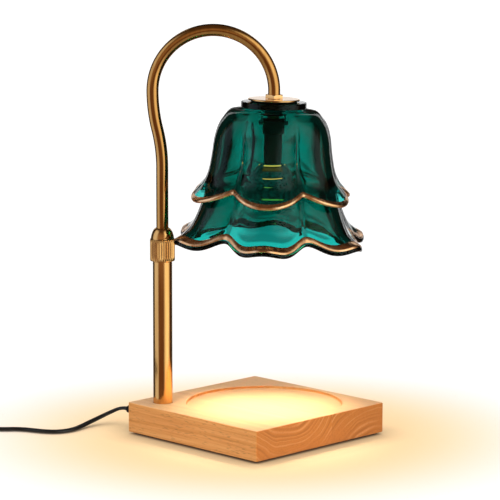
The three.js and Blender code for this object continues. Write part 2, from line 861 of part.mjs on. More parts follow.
// A place on the upper tier's outside: share of the tier's depth and of its rim radius
function upperPlace([down, out], a) {
  const radius = lobe(upperRimRadius * out, upperRimRadius * out * upperCrease(down), a);
  const cusp = Math.abs((a * petals) / Math.PI) ** cuspPower;
  return [radius, down * (upperTipDepth + (upperCuspDepth - upperTipDepth) * cusp)];
}

// A place on the lower tier's outside: share of the way down and out, and the crease's share
function lowerPlace([down, out, crease], a) {
  const tip = rootRadius + (lowerRimRadius - rootRadius) * out;
  const swell = down ** 3;
  const wave = (tip * (1 + crease)) / 2 + ((tip * (1 - crease)) / 2) * Math.cos(petals * a);
  const blend = waveShare * swell;
  const radius = lobe(tip, tip * crease, a) * (1 - blend) + wave * blend;
  const root = rootTipDepth + ((rootCuspDepth - rootTipDepth) * (1 - Math.cos(petals * a))) / 2;
  const rim = lowerTipDepth
    - (lowerValleyRise * (1 - Math.cos(petals * a))) / 2
    + (lowerShoulderDrop + lowerValleyRise / 2) * (1 - Math.cos(2 * petals * a)) / 2;
  return [radius, root + (rim - root) * down];
}

// Outward normal of a tier's outline, down the middle of a petal, as [out, up] parts of one
function normalAt(place, shares, i) {
  const [r0, d0] = place(shares[Math.max(i - 1, 0)], 0);
  const [r1, d1] = place(shares[Math.min(i + 1, shares.length - 1)], 0);
  const length = Math.hypot(r1 - r0, d1 - d0);
  return [(d1 - d0) / length, (r1 - r0) / length];
}

function insideOf(place, shares, i, wall, a) {
  const [out, up] = normalAt(place, shares, i);
  const [r, d] = place(shares[i], a);
  return [r - wall * out, d + wall * up];
}

// The closed outline of the glass at angle a from a petal's middle, as [radius, depth]
function glassOutline(a) {
  const plain = [
    [glassHole, 0],
    [collarRadius - collarBevel, 0],
    [collarRadius, collarBevel],
    [collarRadius, collarHeight],
  ];
  const last = upperShares.length - 1;
  const upper = upperShares.map((share) => upperPlace(share, a));
  const [rimOut, rimUp] = normalAt(upperPlace, upperShares, last);
  const noseWay = [2 * rimUp - rimOut, rimOut + 2 * rimUp];
  const nose = upper[last].map((v, k) => v + (upperLip / 4) * noseWay[k]);
  const under = insideOf(upperPlace, upperShares, last, upperLip, a);
  const lower = lowerShares.map((share) => lowerPlace(share, a));
  const end = lowerShares.length - 1;
  const [r, d] = lower[end];
  const below = insideOf(lowerPlace, lowerShares, end, glassWall, a);
  const rim = [
    [r + rimNose, d + glassWall / 2],
    [r + rimNose / 2, d + glassWall],
    [below[0] + rimNose, below[1] + rimNose / 2],
  ];
  const lowerInside = lowerShares.map((_, i) => insideOf(lowerPlace, lowerShares, i, glassWall, a));
  const upperInside = upperShares.slice(1, 8).map(
    (_, i) => insideOf(upperPlace, upperShares, i + 1, glassWall, a));
  return [
    ...plain, ...upper, nose, under, ...lower, ...rim,
    ...lowerInside.slice(0, end).reverse(), ...upperInside.reverse(),
    [collarRadius - glassWall, glassTop + collarBevel],
    [glassHole, glassTop],
  ];
}

// A closed skin over rows of points that wrap round both ways
function wrapped(rows) {
  const count = rows[0].length;
  const index = [];
  rows.forEach((row, i) => {
    const next = ((i + 1) % rows.length) * count;
    for (let j = 0; j < count; j++) {
      const k = (j + 1) % count;
      index.push(i * count + j, next + k, next + j, i * count + j, i * count + k, next + k);
    }
  });
  const g = new THREE.BufferGeometry();
  g.setAttribute("position", new THREE.Float32BufferAttribute(rows.flat(2), 3));
  g.setIndex(index);
  g.computeVertexNormals();
  return g;
}

function makeShade() {
  const steps = petals * petalSteps;
  const rows = Array.from({ length: steps }, (_, i) => {
    const turn = (2 * Math.PI * i) / steps;
    const half = Math.PI / petals;
    const a = ((turn + half) % (2 * half)) - half;
    const way = turn + THREE.MathUtils.degToRad(petalTurn) - Math.PI / 2;
    return glassOutline(a).map(([r, d]) => [r * Math.cos(way), r * Math.sin(way), -d]);
  });
  add("glass_shade", wrapped(rows), "glass", hanger);
}

// Free cord, dimmer, coil and plug

function makeCord() {
  const places = cordRoute.map((p) => new THREE.Vector3(...p));
  const route = new THREE.CatmullRomCurve3(places, false, "centripetal");
  add("cord_lead", tubeAlong(route, cordSection(), cordSteps), "cord");
}

function makeDimmer() {
  const group = groupAt(dimmerX, dimmerY, 0);
  const l = dimmerLength / 2;
  const t = dimmerWall;
  const corner = dimmerWidth / 7;
  const postX = l - postInset;
  const slab = (length, width, round, low, high) =>
    new THREE.ExtrudeGeometry(roundedRectangle(length, width, round), {
      depth: high - low, bevelEnabled: false, curveSegments: 3,
    }).translate(0, 0, low);
  const post = (radius, low, high, x) => rod(radius, low, high).translate(x, 0, 0);
  const hollow = (low, high) => slab(dimmerLength - 2 * t, dimmerWidth - 2 * t, corner - t / 2, low, high);
  const upperLow = dimmerSplit + gap;
  const headTop = gap + shellHeadHeight;
  const screwTop = headTop + shellScrewLength;

  const tray = cut(slab(dimmerLength, dimmerWidth, corner, 0, dimmerSplit),
    hollow(t, dimmerSplit + overrun));
  const lower = join(tray, ...[-postX, postX].map((x) => post(postRadius, t / 2, dimmerSplit, x)));
  const lowerHoles = [-postX, postX].flatMap((x) => [
    post(shellHeadRadius + gap, -overrun, headTop, x),
    post(shellScrewRadius + gap, -overrun, dimmerSplit + overrun, x),
  ]);
  add("dimmer_lower_shell", cut(lower, ...lowerHoles), "blackPlastic", group);

  const wheelHeight = dimmerHeight + wheelProud - wheelRadius;
  const slotX = Math.sqrt(wheelRadius ** 2 - (dimmerHeight - t - wheelHeight) ** 2) + 2 * gap;
  const slotY = wheelWidth / 2 + 2 * gap;
  const slot = block([-slotX, slotX], [-slotY, slotY],
    [dimmerHeight - t - overrun, dimmerHeight + overrun]);
  const lid = cut(slab(dimmerLength, dimmerWidth, corner, upperLow, dimmerHeight),
    hollow(upperLow - overrun, dimmerHeight - t), slot);
  const upper = join(lid, ...[-postX, postX].map(
    (x) => post(postRadius, upperLow, dimmerHeight - t / 2, x)));
  const upperHoles = [-postX, postX].map((x) => post(shellScrewRadius + gap, 0, screwTop + gap, x));
  add("dimmer_upper_shell", cut(upper, ...upperHoles), "blackPlastic", group);

  [-postX, postX].forEach((x, i) => {
    const screw = turned([
      [0, gap], [shellHeadRadius, gap], [shellHeadRadius, headTop - gap / 2],
      [shellScrewRadius, headTop - gap / 2], [shellScrewRadius, screwTop], [0, screwTop],
    ], smallSides);
    add(`dimmer_screw_${i + 1}`, screw, "steel", group).position.x = x;
  });

  const boardLow = t + gap;
  const boardTop = boardLow + boardThickness;
  add("dimmer_board", block([-boardLength / 2, boardLength / 2], [-boardWidth / 2, boardWidth / 2],
    [boardLow, boardTop]), "board", group);
  const potNear = wheelWidth / 2 + gap;
  const pot = block([-potLength / 2, potLength / 2], [-potNear - potWidth, -potNear],
    [boardTop + gap, boardTop + gap + potHeight]);
  const shaftBore = rod(wheelShaftRadius + gap, 0, wheelWidth / 2 + wheelShaftLength + gap);
  shaftBore.rotateX(Math.PI / 2).translate(0, 0, wheelHeight);
  add("dimmer_pot", cut(pot, shaftBore), "blackPlastic", group);
  const rimGeometry = new THREE.ExtrudeGeometry(toothedShape(wheelRadius, wheelTeeth, wheelToothDepth), {
    depth: wheelWidth, bevelEnabled: false,
  }).translate(0, 0, -wheelWidth / 2);
  const shaft = rod(wheelShaftRadius, 0, wheelWidth / 2 + wheelShaftLength);
  const wheel = join(rimGeometry, shaft).rotateX(Math.PI / 2);
  add("dimmer_wheel", wheel, "blackPlastic", group).position.z = wheelHeight;

  [["dimmer_sleeve_in", 0], ["dimmer_sleeve_out", Math.PI]].forEach(([name, heading]) => {
    const from = l + gap;
    const sleeve = turned([
      [0, from], [sleeveRadius, from], [sleeveTipRadius, from + sleeveLength], [0, from + sleeveLength],
    ], smallSides);
    add(name, levelTowards(sleeve, heading), "rubber", group).position.z = dimmerAxis;
  });
}

// The centre line of the second length of cord: out of the dimmer, round a return bend, in along
// the floor layer of the coil, out along the upper layer, and straight on to the plug.
function coilLine() {
  const points = [];
  const [x0, y0] = coilStart;
  const straight = cordWidth;
  points.push([x0, y0, dimmerAxis], [x0 - straight, y0, dimmerAxis]);
  for (let i = 1; i <= returnSteps; i++) {
    const t = i / returnSteps;
    const a = Math.PI * (0.5 + t);
    const ease = t * t * (3 - 2 * t);
    points.push([
      x0 - straight + returnRadius * Math.cos(a),
      y0 - returnRadius + returnRadius * Math.sin(a),
      dimmerAxis + (cordFloor - dimmerAxis) * ease,
    ]);
  }
  for (let i = 1; i < runSteps; i++) {
    const from = x0 - straight;
    points.push([from + ((coilX - from) * i) / runSteps, y0 - 2 * returnRadius, cordFloor]);
  }
  const total = 2 * coilLayerTurns * loopSteps;
  for (let i = 0; i <= total; i++) {
    const turns = i / loopSteps;
    const left = Math.abs(turns - coilLayerTurns);
    const dip = left < coilDipTurns ? coilDip * Math.cos((Math.PI * left) / 2 / coilDipTurns) ** 2 : 0;
    const radius = coilRadius - coilPitch * (coilLayerTurns - left + dip);
    const climb = Math.min(Math.max((turns - coilLayerTurns) * 2 + 0.5, 0), 1);
    const ease = climb * climb * (3 - 2 * climb);
    const a = Math.PI / 2 - 2 * Math.PI * turns;
    points.push([coilX + radius * Math.cos(a), coilY + radius * Math.sin(a), cordFloor + coilLayer * ease]);
  }
  const [xe, ye, ze] = points[points.length - 1];
  const stop = plugLeadLength;
  [...plugRiseShares, [1 - straight / stop, 1], [1, 1]].forEach(([run, rise]) => {
    points.push([xe, ye - stop * run, ze + (plugAxis - ze) * rise]);
  });
  return points.map((p) => new THREE.Vector3(...p));
}

// A flat section carried along points, its width kept level
function sweptFlat(points, sides) {
  const up = new THREE.Vector3(0, 0, 1);
  const position = [];
  points.forEach((p, i) => {
    const ahead = points[Math.min(i + 1, points.length - 1)].clone()
      .sub(points[Math.max(i - 1, 0)]).normalize();
    const across = new THREE.Vector3().crossVectors(ahead, up).normalize();
    const over = new THREE.Vector3().crossVectors(across, ahead);
    for (let k = 0; k < sides; k++) {
      const a = (2 * Math.PI * k) / sides;
      const v = p.clone()
        .addScaledVector(across, (cordWidth / 2) * Math.cos(a))
        .addScaledVector(over, (cordThickness / 2 / Math.sin((2 * Math.PI) / sides)) * Math.sin(a));
      position.push(v.x, v.y, v.z);
    }
  });
  const index = [];
  for (let i = 0; i + 1 < points.length; i++) {
    for (let k = 0; k < sides; k++) {
      const a = i * sides + k;
      const b = i * sides + ((k + 1) % sides);
      index.push(a, b + sides, b, a, a + sides, b + sides);
    }
  }
  const end = (points.length - 1) * sides;
  for (let k = 1; k + 1 < sides; k++) {
    index.push(0, k, k + 1, end, end + k + 1, end + k);
  }
  const g = new THREE.BufferGeometry();
  g.setAttribute("position", new THREE.Float32BufferAttribute(position, 3));
  g.setIndex(index);
  g.computeVertexNormals();
  return g;
}

// The least clear gap between turns: measured between centre points more than half a loop apart,
// less the flat section's half sizes in plan and in height
function leastGap(points) {
  let least = Infinity;
  for (let i = 0; i < points.length; i++) {
    for (let j = i + loopSteps / 2; j < points.length; j++) {
      const flat = Math.hypot(points[i].x - points[j].x, points[i].y - points[j].y) - cordWidth;
      const high = Math.abs(points[i].z - points[j].z) - cordThickness;
      least = Math.min(least, Math.max(flat, high));
    }
  }
  return least;
}

function makeCoil() {
  const points = coilLine();
  console.log(`least gap between the coil's turns: ${leastGap(points).toFixed(2)} mm`);
  add("cord_coil", sweptFlat(points, coilSides), "cord");
}

function makePlug() {
  const plugX = coilX + coilRadius;
  const reliefTip = coilY - plugLeadLength - gap;
  const group = groupAt(plugX, reliefTip - sleeveLength, 0);
  const outline = roundedRectangle(
    plugWidth - 2 * plugBevel, plugLength - 2 * plugBevel, plugCorner - plugBevel);
  const body = new THREE.ExtrudeGeometry(outline, {
    depth: plugThickness - 2 * plugBevel,
    bevelThickness: plugBevel,
    bevelSize: plugBevel,
    bevelSegments: 2,
    curveSegments: 3,
  }).translate(0, -plugLength / 2, plugBevel);
  const relief = turned([
    [0, -plugCorner], [sleeveRadius, -plugCorner], [sleeveRadius, 0],
    [sleeveTipRadius, sleeveLength], [0, sleeveLength],
  ], smallSides);
  relief.rotateX(-Math.PI / 2).translate(0, 0, plugAxis);
  add("plug_body", join(body, relief), "blackPlastic", group);
  [-1, 1].forEach((side, i) => {
    const x = (side * bladeSpacing) / 2;
    const blade = block([x - bladeThickness / 2, x + bladeThickness / 2],
      [-plugLength - gap - bladeLength, -plugLength - gap],
      [plugAxis - bladeWidth / 2, plugAxis + bladeWidth / 2]);
    add(`plug_blade_${i + 1}`, blade, "brass", group);
  });
}

makeBase();
makeFoot();
makeStem();
makeStemLeads();
makeNeck();
makeClamp();
makeCanopy();
makeShade();
makeCord();
makeDimmer();
makeCoil();
makePlug();

export default lamp;
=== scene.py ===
import json
import math

import bpy
import numpy as np
from mathutils import Matrix, Vector


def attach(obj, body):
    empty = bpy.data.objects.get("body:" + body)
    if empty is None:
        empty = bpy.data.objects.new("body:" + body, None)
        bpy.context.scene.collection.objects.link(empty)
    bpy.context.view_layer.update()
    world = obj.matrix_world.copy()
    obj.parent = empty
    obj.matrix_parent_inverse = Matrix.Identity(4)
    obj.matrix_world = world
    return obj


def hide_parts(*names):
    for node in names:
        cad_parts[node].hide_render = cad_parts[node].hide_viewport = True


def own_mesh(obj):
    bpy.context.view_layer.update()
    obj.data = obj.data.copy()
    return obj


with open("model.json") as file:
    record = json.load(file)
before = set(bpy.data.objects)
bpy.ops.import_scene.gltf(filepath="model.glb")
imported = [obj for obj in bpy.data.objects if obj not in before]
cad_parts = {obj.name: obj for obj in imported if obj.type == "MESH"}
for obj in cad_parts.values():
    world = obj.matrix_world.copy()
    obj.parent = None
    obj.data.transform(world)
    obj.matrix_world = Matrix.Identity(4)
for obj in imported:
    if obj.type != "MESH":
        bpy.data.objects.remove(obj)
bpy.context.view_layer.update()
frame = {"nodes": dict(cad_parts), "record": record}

# Lengths are in millimetres, in the frame's axes, until a mesh is made
MM = 0.001
FULL = 2 * math.pi
GAP = 0.3


def make_camera():
    """The photograph's view: a long lens, a little above the lamp and square to its arm."""
    azimuth, elevation, roll = np.radians([-0.244, 9.0994, 0.137])
    distance, side, height = 2.05465, -0.0050626, 0.154424
    level = math.cos(elevation)
    back = Vector((math.sin(azimuth) * level, -math.cos(azimuth) * level, math.sin(elevation)))
    right = Vector((math.cos(azimuth), math.sin(azimuth), 0))
    up = back.cross(right)
    target = right * side + Vector((0, 0, height))
    turned_right = right * math.cos(roll) + up * math.sin(roll)
    turned_up = up * math.cos(roll) - right * math.sin(roll)
    camera = bpy.data.objects.new("camera", bpy.data.cameras.new("camera"))
    camera.data.lens = 180
    camera.data.sensor_width = 36
    camera.data.clip_end = 50
    place = Matrix((turned_right, turned_up, back)).transposed().to_4x4()
    place.translation = target + back * distance
    camera.matrix_world = place
    bpy.context.scene.collection.objects.link(camera)
    bpy.context.scene.camera = camera


# Colours and nodes


def colour(value):
    """Linear colour of an sRGB hex value."""
    s = np.array([value >> 16 & 255, value >> 8 & 255, value & 255]) / 255
    linear = np.where(s <= 0.04045, s / 12.92, ((s + 0.055) / 1.055) ** 2.4)
    return (*linear.tolist(), 1.0)


def put(tree, kind, inputs=(), stops=(), **settings):
    """Adds a node with its settings, and a value or a link for each input. A node given as an
    input is linked by its first output in use. Stops are a ramp's places and hex colours."""
    made = tree.nodes.new(kind)
    for key, value in settings.items():
        setattr(made, key, value)
    for key, value in inputs.items() if isinstance(inputs, dict) else enumerate(inputs):
        if isinstance(value, bpy.types.Node):
            value = next(output for output in value.outputs if output.enabled)
        if isinstance(value, bpy.types.NodeSocket):
            tree.links.new(value, made.inputs[key])
        else:
            made.inputs[key].default_value = value
    if stops:
        elements = made.color_ramp.elements
        elements[0].position, elements[1].position = stops[0][0], stops[-1][0]
        for place, _ in stops[1:-1]:
            elements.new(place)
        for element, (_, value) in zip(elements, stops):
            element.color = colour(value)
    return made


def new_tree(name):
    """A material and its empty node tree."""
    material = bpy.data.materials.new(name)
    material.use_nodes = True
    material.node_tree.nodes.clear()
    return material, material.node_tree


def surfaced(tree, inputs, **body):
    """Ends a tree with its shader and output, and a volume where the body takes up light."""
    surface = put(tree, "ShaderNodeBsdfPrincipled", inputs)
    put(tree, "ShaderNodeOutputMaterial", {"Surface": surface, **body})


def grain(tree, scale, detail=2.0, rough=0.55, where=None):
    """Soft pattern from 0 to 1, with that many cells to the metre along each axis of the piece."""
    if where is None:
        where = put(tree, "ShaderNodeTexCoord").outputs["Object"]
    place = put(tree, "ShaderNodeMapping", {"Vector": where, "Scale": scale})
    return put(tree, "ShaderNodeTexNoise", {
        "Vector": place, "Scale": 1.0, "Detail": detail, "Roughness": rough,
    })


def worn(tree, pattern, low, high, height=0.0):
    """Shader inputs: roughness from low to high, and the pattern as a bump of that height in mm."""
    inputs = {"Roughness": put(tree, "ShaderNodeMapRange", [pattern, 0.3, 0.7, low, high])}
    if height:
        inputs["Normal"] = put(tree, "ShaderNodeBump", {
            "Height": pattern, "Strength": 1.0, "Distance": height * MM,
        })
    return inputs


# Finishes

RGBA = {"data_type": "RGBA"}
WHITE = (1, 1, 1, 1)
# Beech: the glue line's way from the middle, ring spacing and waviness, in mm
GLUE_LINE = 12
RING_SPACING = 2.8
RING_WANDER = 14


def beech_block():
    """Solid beech, two staves glued side by side, planed, sanded and lacquered satin. It gives
    straight streaks with short dark flecks along the grain, and curved rings on the sawn ends."""
    material, tree = new_tree("lacquered_beech")
    coordinates = put(tree, "ShaderNodeTexCoord").outputs
    facing = coordinates["Normal"]
    place = put(tree, "ShaderNodeMapping", {
        "Vector": coordinates["Object"], "Rotation": (0, 0, math.pi / 4),
    })
    axes = put(tree, "ShaderNodeSeparateXYZ", [place]).outputs
    second = put(tree, "ShaderNodeMath", [axes["Y"], GLUE_LINE * MM], operation="GREATER_THAN")
    # the heart of the tree that each stave was sawn from
    hearts = put(tree, "ShaderNodeMix", {
        "Factor": second, 4: (0, -38 * MM, 62 * MM), 5: (0, 60 * MM, -30 * MM),
    }, data_type="VECTOR")
    bend = grain(tree, (4, 26, 26), rough=0.5, where=place).outputs["Color"]
    bend = put(tree, "ShaderNodeVectorMath", [bend, (0.5, 0.5, 0.5)], operation="SUBTRACT")
    bend = put(tree, "ShaderNodeVectorMath", {0: bend, 3: RING_WANDER * MM}, operation="SCALE")
    off = put(tree, "ShaderNodeVectorMath", [place, hearts], operation="SUBTRACT")
    off = put(tree, "ShaderNodeVectorMath", [off, bend], operation="ADD")
    across = put(tree, "ShaderNodeVectorMath", [off, (0.02, 1, 1)], operation="MULTIPLY")
    radius = put(tree, "ShaderNodeVectorMath", [across], operation="LENGTH")
    count = put(tree, "ShaderNodeMath", [radius, 1 / (RING_SPACING * MM)], operation="MULTIPLY")
    rings = put(tree, "ShaderNodeTexNoise", {"W": count, "Scale": 1.0, "Detail": 1.5},
                noise_dimensions="1D")
    fibres = grain(tree, (18, 700, 700), 4.0, 0.6, place)
    # flecks 0.6 mm high and 6 mm long, drawn a little coarse so that they show
    flecks = grain(tree, (190, 1500, 1500), 1.0, 0.4, place)
    flecks = put(tree, "ShaderNodeMapRange", [flecks, 0.62, 0.72])
    streaks = put(tree, "ShaderNodeMix", {"Factor": 0.55, 2: rings, 3: fibres})
    long_grain = put(tree, "ShaderNodeValToRGB", [streaks], [
        (0.3, 0xB67232), (0.44, 0xCC8440), (0.56, 0xD89450), (0.75, 0xE0A25E),
    ])
    dark = put(tree, "ShaderNodeMath", [flecks, 0.55], operation="MULTIPLY")
    long_grain = put(tree, "ShaderNodeMix", {
        "Factor": dark, 6: long_grain, 7: colour(0x8A5626),
    }, **RGBA)
    end_grain = put(tree, "ShaderNodeValToRGB", [rings], [
        (0.34, 0xBC6C2C), (0.44, 0xCC782F), (0.56, 0xD07E36), (0.68, 0xDE9450),
    ])
    patches = put(tree, "ShaderNodeMapRange", [
        grain(tree, (30, 30, 30), 1.0, where=place), 0.4, 0.62, 0.12,
    ])
    end_grain = put(tree, "ShaderNodeMix", {
        "Factor": patches, 6: colour(0xD07A32), 7: end_grain,
    }, **RGBA)
    pores = put(tree, "ShaderNodeMapRange", [
        grain(tree, (900, 900, 900), where=place), 0.5, 0.8, 0.0, 0.35,
    ])
    end_grain = put(tree, "ShaderNodeMix", {
        "Factor": pores, 6: end_grain, 7: colour(0x9A5222),
    }, **RGBA)
    sawn = (math.sqrt(0.5), -math.sqrt(0.5), 0)
    ends = put(tree, "ShaderNodeVectorMath", [facing, sawn], operation="DOT_PRODUCT")
    ends = put(tree, "ShaderNodeMath", [ends], operation="ABSOLUTE")
    ends = put(tree, "ShaderNodeMapRange", [ends, 0.6, 0.8])
    both = put(tree, "ShaderNodeMix", {"Factor": ends, 6: long_grain, 7: end_grain}, **RGBA)
    # painted sheen: the face turned up to the light is painted paler, towards 0xEFCFA4
    top = put(tree, "ShaderNodeVectorMath", [facing, (0, 0, 1)], operation="DOT_PRODUCT")
    top = put(tree, "ShaderNodeMapRange", [top, 0.5, 0.9, 0.0, 0.45])
    both = put(tree, "ShaderNodeMix", {"Factor": top, 6: both, 7: colour(0xEFCFA4)}, **RGBA)
    stave = put(tree, "ShaderNodeMapRange", [second, 0.0, 1.0, 1.0, 0.94])
    shade = put(tree, "ShaderNodeVectorMath", {0: both, 3: stave}, operation="SCALE")
    surfaced(tree, {
        "Base Color": shade, "IOR": 1.5, "Specular IOR Level": 0.3,
        **worn(tree, fibres, 0.4, 0.52, 0.05),
    })
    return material


def varied(name, low, high, smooth, rough, scale, height, detail=2.0, ends=(0.3, 0.7),
           source="Object", **inputs):
    """A finish whose tone and gloss vary softly together with a fine grain."""
    material, tree = new_tree(name)
    tone = grain(tree, scale, detail, where=put(tree, "ShaderNodeTexCoord").outputs[source])
    tones = put(tree, "ShaderNodeValToRGB", [tone], [(ends[0], low), (ends[1], high)])
    surfaced(tree, {"Base Color": tones, **inputs, **worn(tree, tone, smooth, rough, height)})
    return material


def metal(name, low, high, smooth, rough, scale, height=0.004):
    """A plated or polished metal."""
    return varied(name, low, high, smooth, rough, scale, height, ends=(0.35, 0.65), Metallic=1.0)


def moulded(name, low, high, smooth, rough, pitch, height=0.02):
    """A moulded plastic or ceramic with a fine texture of that pitch in mm."""
    return varied(name, low, high, smooth, rough, (1 / (pitch * MM),) * 3, height, 3.0)


# Slots of the reflector, as height, half height, strength and half reach in degrees
BULB_X = 13
GLOW_BANDS = [
    (225.3, 0.45, 150, 42), (223.0, 1.6, 9, 36), (215.4, 0.5, 160, 25), (198.2, 0.5, 120, 19),
]
SLOTS_IN_RING = 3


def reflector_coat():
    """Pressed glass with a dichroic mirror, whose facets let a faint light through. It leaks a
    glow through thin slots, three to a ring, deep orange so that some red is left after the
    green glass."""
    material, tree = new_tree("dichroic_reflector")
    tone = grain(tree, (160, 160, 160))
    tones = put(tree, "ShaderNodeValToRGB", [tone], [(0.35, 0x7E7C75), (0.65, 0xA8A69E)])
    where = put(tree, "ShaderNodeTexCoord").outputs["Object"]
    axes = put(tree, "ShaderNodeSeparateXYZ", [where]).outputs
    side = put(tree, "ShaderNodeMath", [axes["X"], -BULB_X * MM], operation="ADD")
    turn = put(tree, "ShaderNodeMath", [side, axes["Y"]], operation="ARCTAN2")
    turn = put(tree, "ShaderNodeMath", [turn, SLOTS_IN_RING], operation="MULTIPLY")
    slots = put(tree, "ShaderNodeMath", [turn], operation="COSINE")
    glow = 0.0
    for middle, half, level, reach in GLOW_BANDS:
        away = put(tree, "ShaderNodeMath", [axes["Z"], middle * MM], operation="SUBTRACT")
        away = put(tree, "ShaderNodeMath", [away], operation="ABSOLUTE")
        band = put(tree, "ShaderNodeMapRange", [away, half * MM, 0.4 * half * MM, 0.0, level])
        ends = -math.cos(math.radians(SLOTS_IN_RING * reach))
        slot = put(tree, "ShaderNodeMapRange", [slots, ends + 0.1, ends - 0.1])
        band = put(tree, "ShaderNodeMath", [band, slot], operation="MULTIPLY")
        glow = put(tree, "ShaderNodeMath", [glow, band], operation="ADD")
    lit = put(tree, "ShaderNodeMath", [glow, 1.0], operation="MINIMUM")
    tint = put(tree, "ShaderNodeMix", {
        "Factor": lit, 6: colour(0xDCEFE2), 7: colour(0xFF2108),
    }, **RGBA)
    haze = put(tree, "ShaderNodeMapRange", [grain(tree, (420, 420, 12)), 0.35, 0.65, 0.03, 0.2])
    glow = put(tree, "ShaderNodeMath", [glow, haze], operation="ADD")
    surfaced(tree, {
        "Base Color": tones, "Metallic": 0.6, "Emission Color": tint, "Emission Strength": glow,
        **worn(tree, tone, 0.12, 0.25),
    })
    return material


def pressed_glass():
    """Clear teal glass with a faint pressed waviness, whose body takes up light on the way
    through: in one 4.5 mm wall 98 % of the red and about 60 % of the green and the blue."""
    material, tree = new_tree("teal_pressed_glass")
    waves = grain(tree, (45, 45, 30), 1.0)
    lines = put(tree, "ShaderNodeMath", [grain(tree, (420, 420, 14), 1.0), 0.16], operation="MULTIPLY")
    waves = put(tree, "ShaderNodeMath", [waves, lines], operation="ADD")
    bump = put(tree, "ShaderNodeBump", {"Height": waves, "Strength": 1.0, "Distance": 0.06 * MM})
    body = put(tree, "ShaderNodeVolumeAbsorption", {
        "Color": (0.3, 0.838, 0.817, 1.0), "Density": 1200.0,
    })
    surfaced(tree, {
        "Base Color": WHITE, "Transmission Weight": 1.0, "IOR": 1.5, "Roughness": 0.0,
        # low, as the photograph shows little face-on glare on the glass
        "Specular Tint": (0.25, 0.35, 0.35, 1), "Normal": bump,
    }, Volume=body)
    return material


def lit_glass(name, tint, strength):
    """Frosted glass that the filament lights from behind, brighter in places."""
    material, tree = new_tree(name)
    tone = grain(tree, (400, 400, 400))
    bright = put(tree, "ShaderNodeMapRange", [tone, 0.3, 0.7, 0.85 * strength, strength])
    surfaced(tree, {
        "Base Color": colour(0xF4EBD8), "Emission Color": colour(tint), "Emission Strength": bright,
        **worn(tree, tone, 0.2, 0.4),
    })
    return material


FINISH = {
    "beech": beech_block(),
    # black foam rubber: a thin dull dark line under the block
    "pad_rubber": varied("foam_rubber", 0x0C0B0B, 0x1A1918, 0.8, 0.95, (1400,) * 3, 0.1),
    # plated, toned to bronze, brushed along the tube and lacquered: a warm satin gleam
    "brass_finish": metal("aged_brass", 0xD2A060, 0xDEAE6E, 0.13, 0.2, (500, 500, 25)),
    # the same on the bent tube, toned a little darker
    "toned": metal("toned_brass", 0xBA8A4E, 0xC8985A, 0.12, 0.18, (500, 500, 25)),
    # the same plating, buffed: sharp dark and cream reflections
    "polished": metal("buffed_brass", 0xD8AA70, 0xE4B880, 0.06, 0.1, (300,) * 3, 0.002),
    # liquid gold painted on the rims and fired: a bright coppery line, a little uneven
    "gilding": metal("fired_gold", 0xE2AA78, 0xF4CAA0, 0.16, 0.3, (220,) * 3, 0.02),
    # tumbled after plating: a pale grey satin
    "steel": metal("zinc_plated_steel", 0xA9ADB0, 0xC3C6C8, 0.3, 0.42, (300,) * 3),
    # undyed: a milky matt white
    "nylon": moulded("natural_nylon", 0xD9D6CB, 0xE8E6DD, 0.45, 0.55, 0.8),
    "teal_glass": pressed_glass(),
    "clear_glass": lit_glass("lit_front_lens", 0xFFD890, 5.0),
    "capsule": lit_glass("lit_capsule", 0xFFE0A8, 10.0),
    "reflector": reflector_coat(),
    # steatite, fired: a dull dark warm grey, partly its own tone and partly painted shade for its place
    # inside the glass
    "ceramic": moulded("steatite", 0x6A665E, 0x7A756B, 0.5, 0.65, 0.6),
    # black PVC drawn over two cores: a soft sheen with faint lengthwise draw lines
    "cord_black": varied("pvc_sheath", 0x0B0B0B, 0x1B1B1A, 0.32, 0.46, (70, 6, 1), 0.03, 3.0,
                         source="UV"),
    # ABS with a spark-eroded texture: an even soft black
    "black_plastic": moulded("textured_abs", 0x0E0E0F, 0x19191B, 0.38, 0.55, 0.5, 0.03),
    # glass-filled board under green lacquer: a dark glossy green
    "board": moulded("lacquered_board", 0x1E5A2C, 0x2C7340, 0.35, 0.5, 2.0),
    # nickel plated blades: a pale bright metal
    "contact_brass": metal("nickel_plated_brass", 0xC9C1A8, 0xDAD3BE, 0.16, 0.26, (200,) * 3),
}


# Surfaces


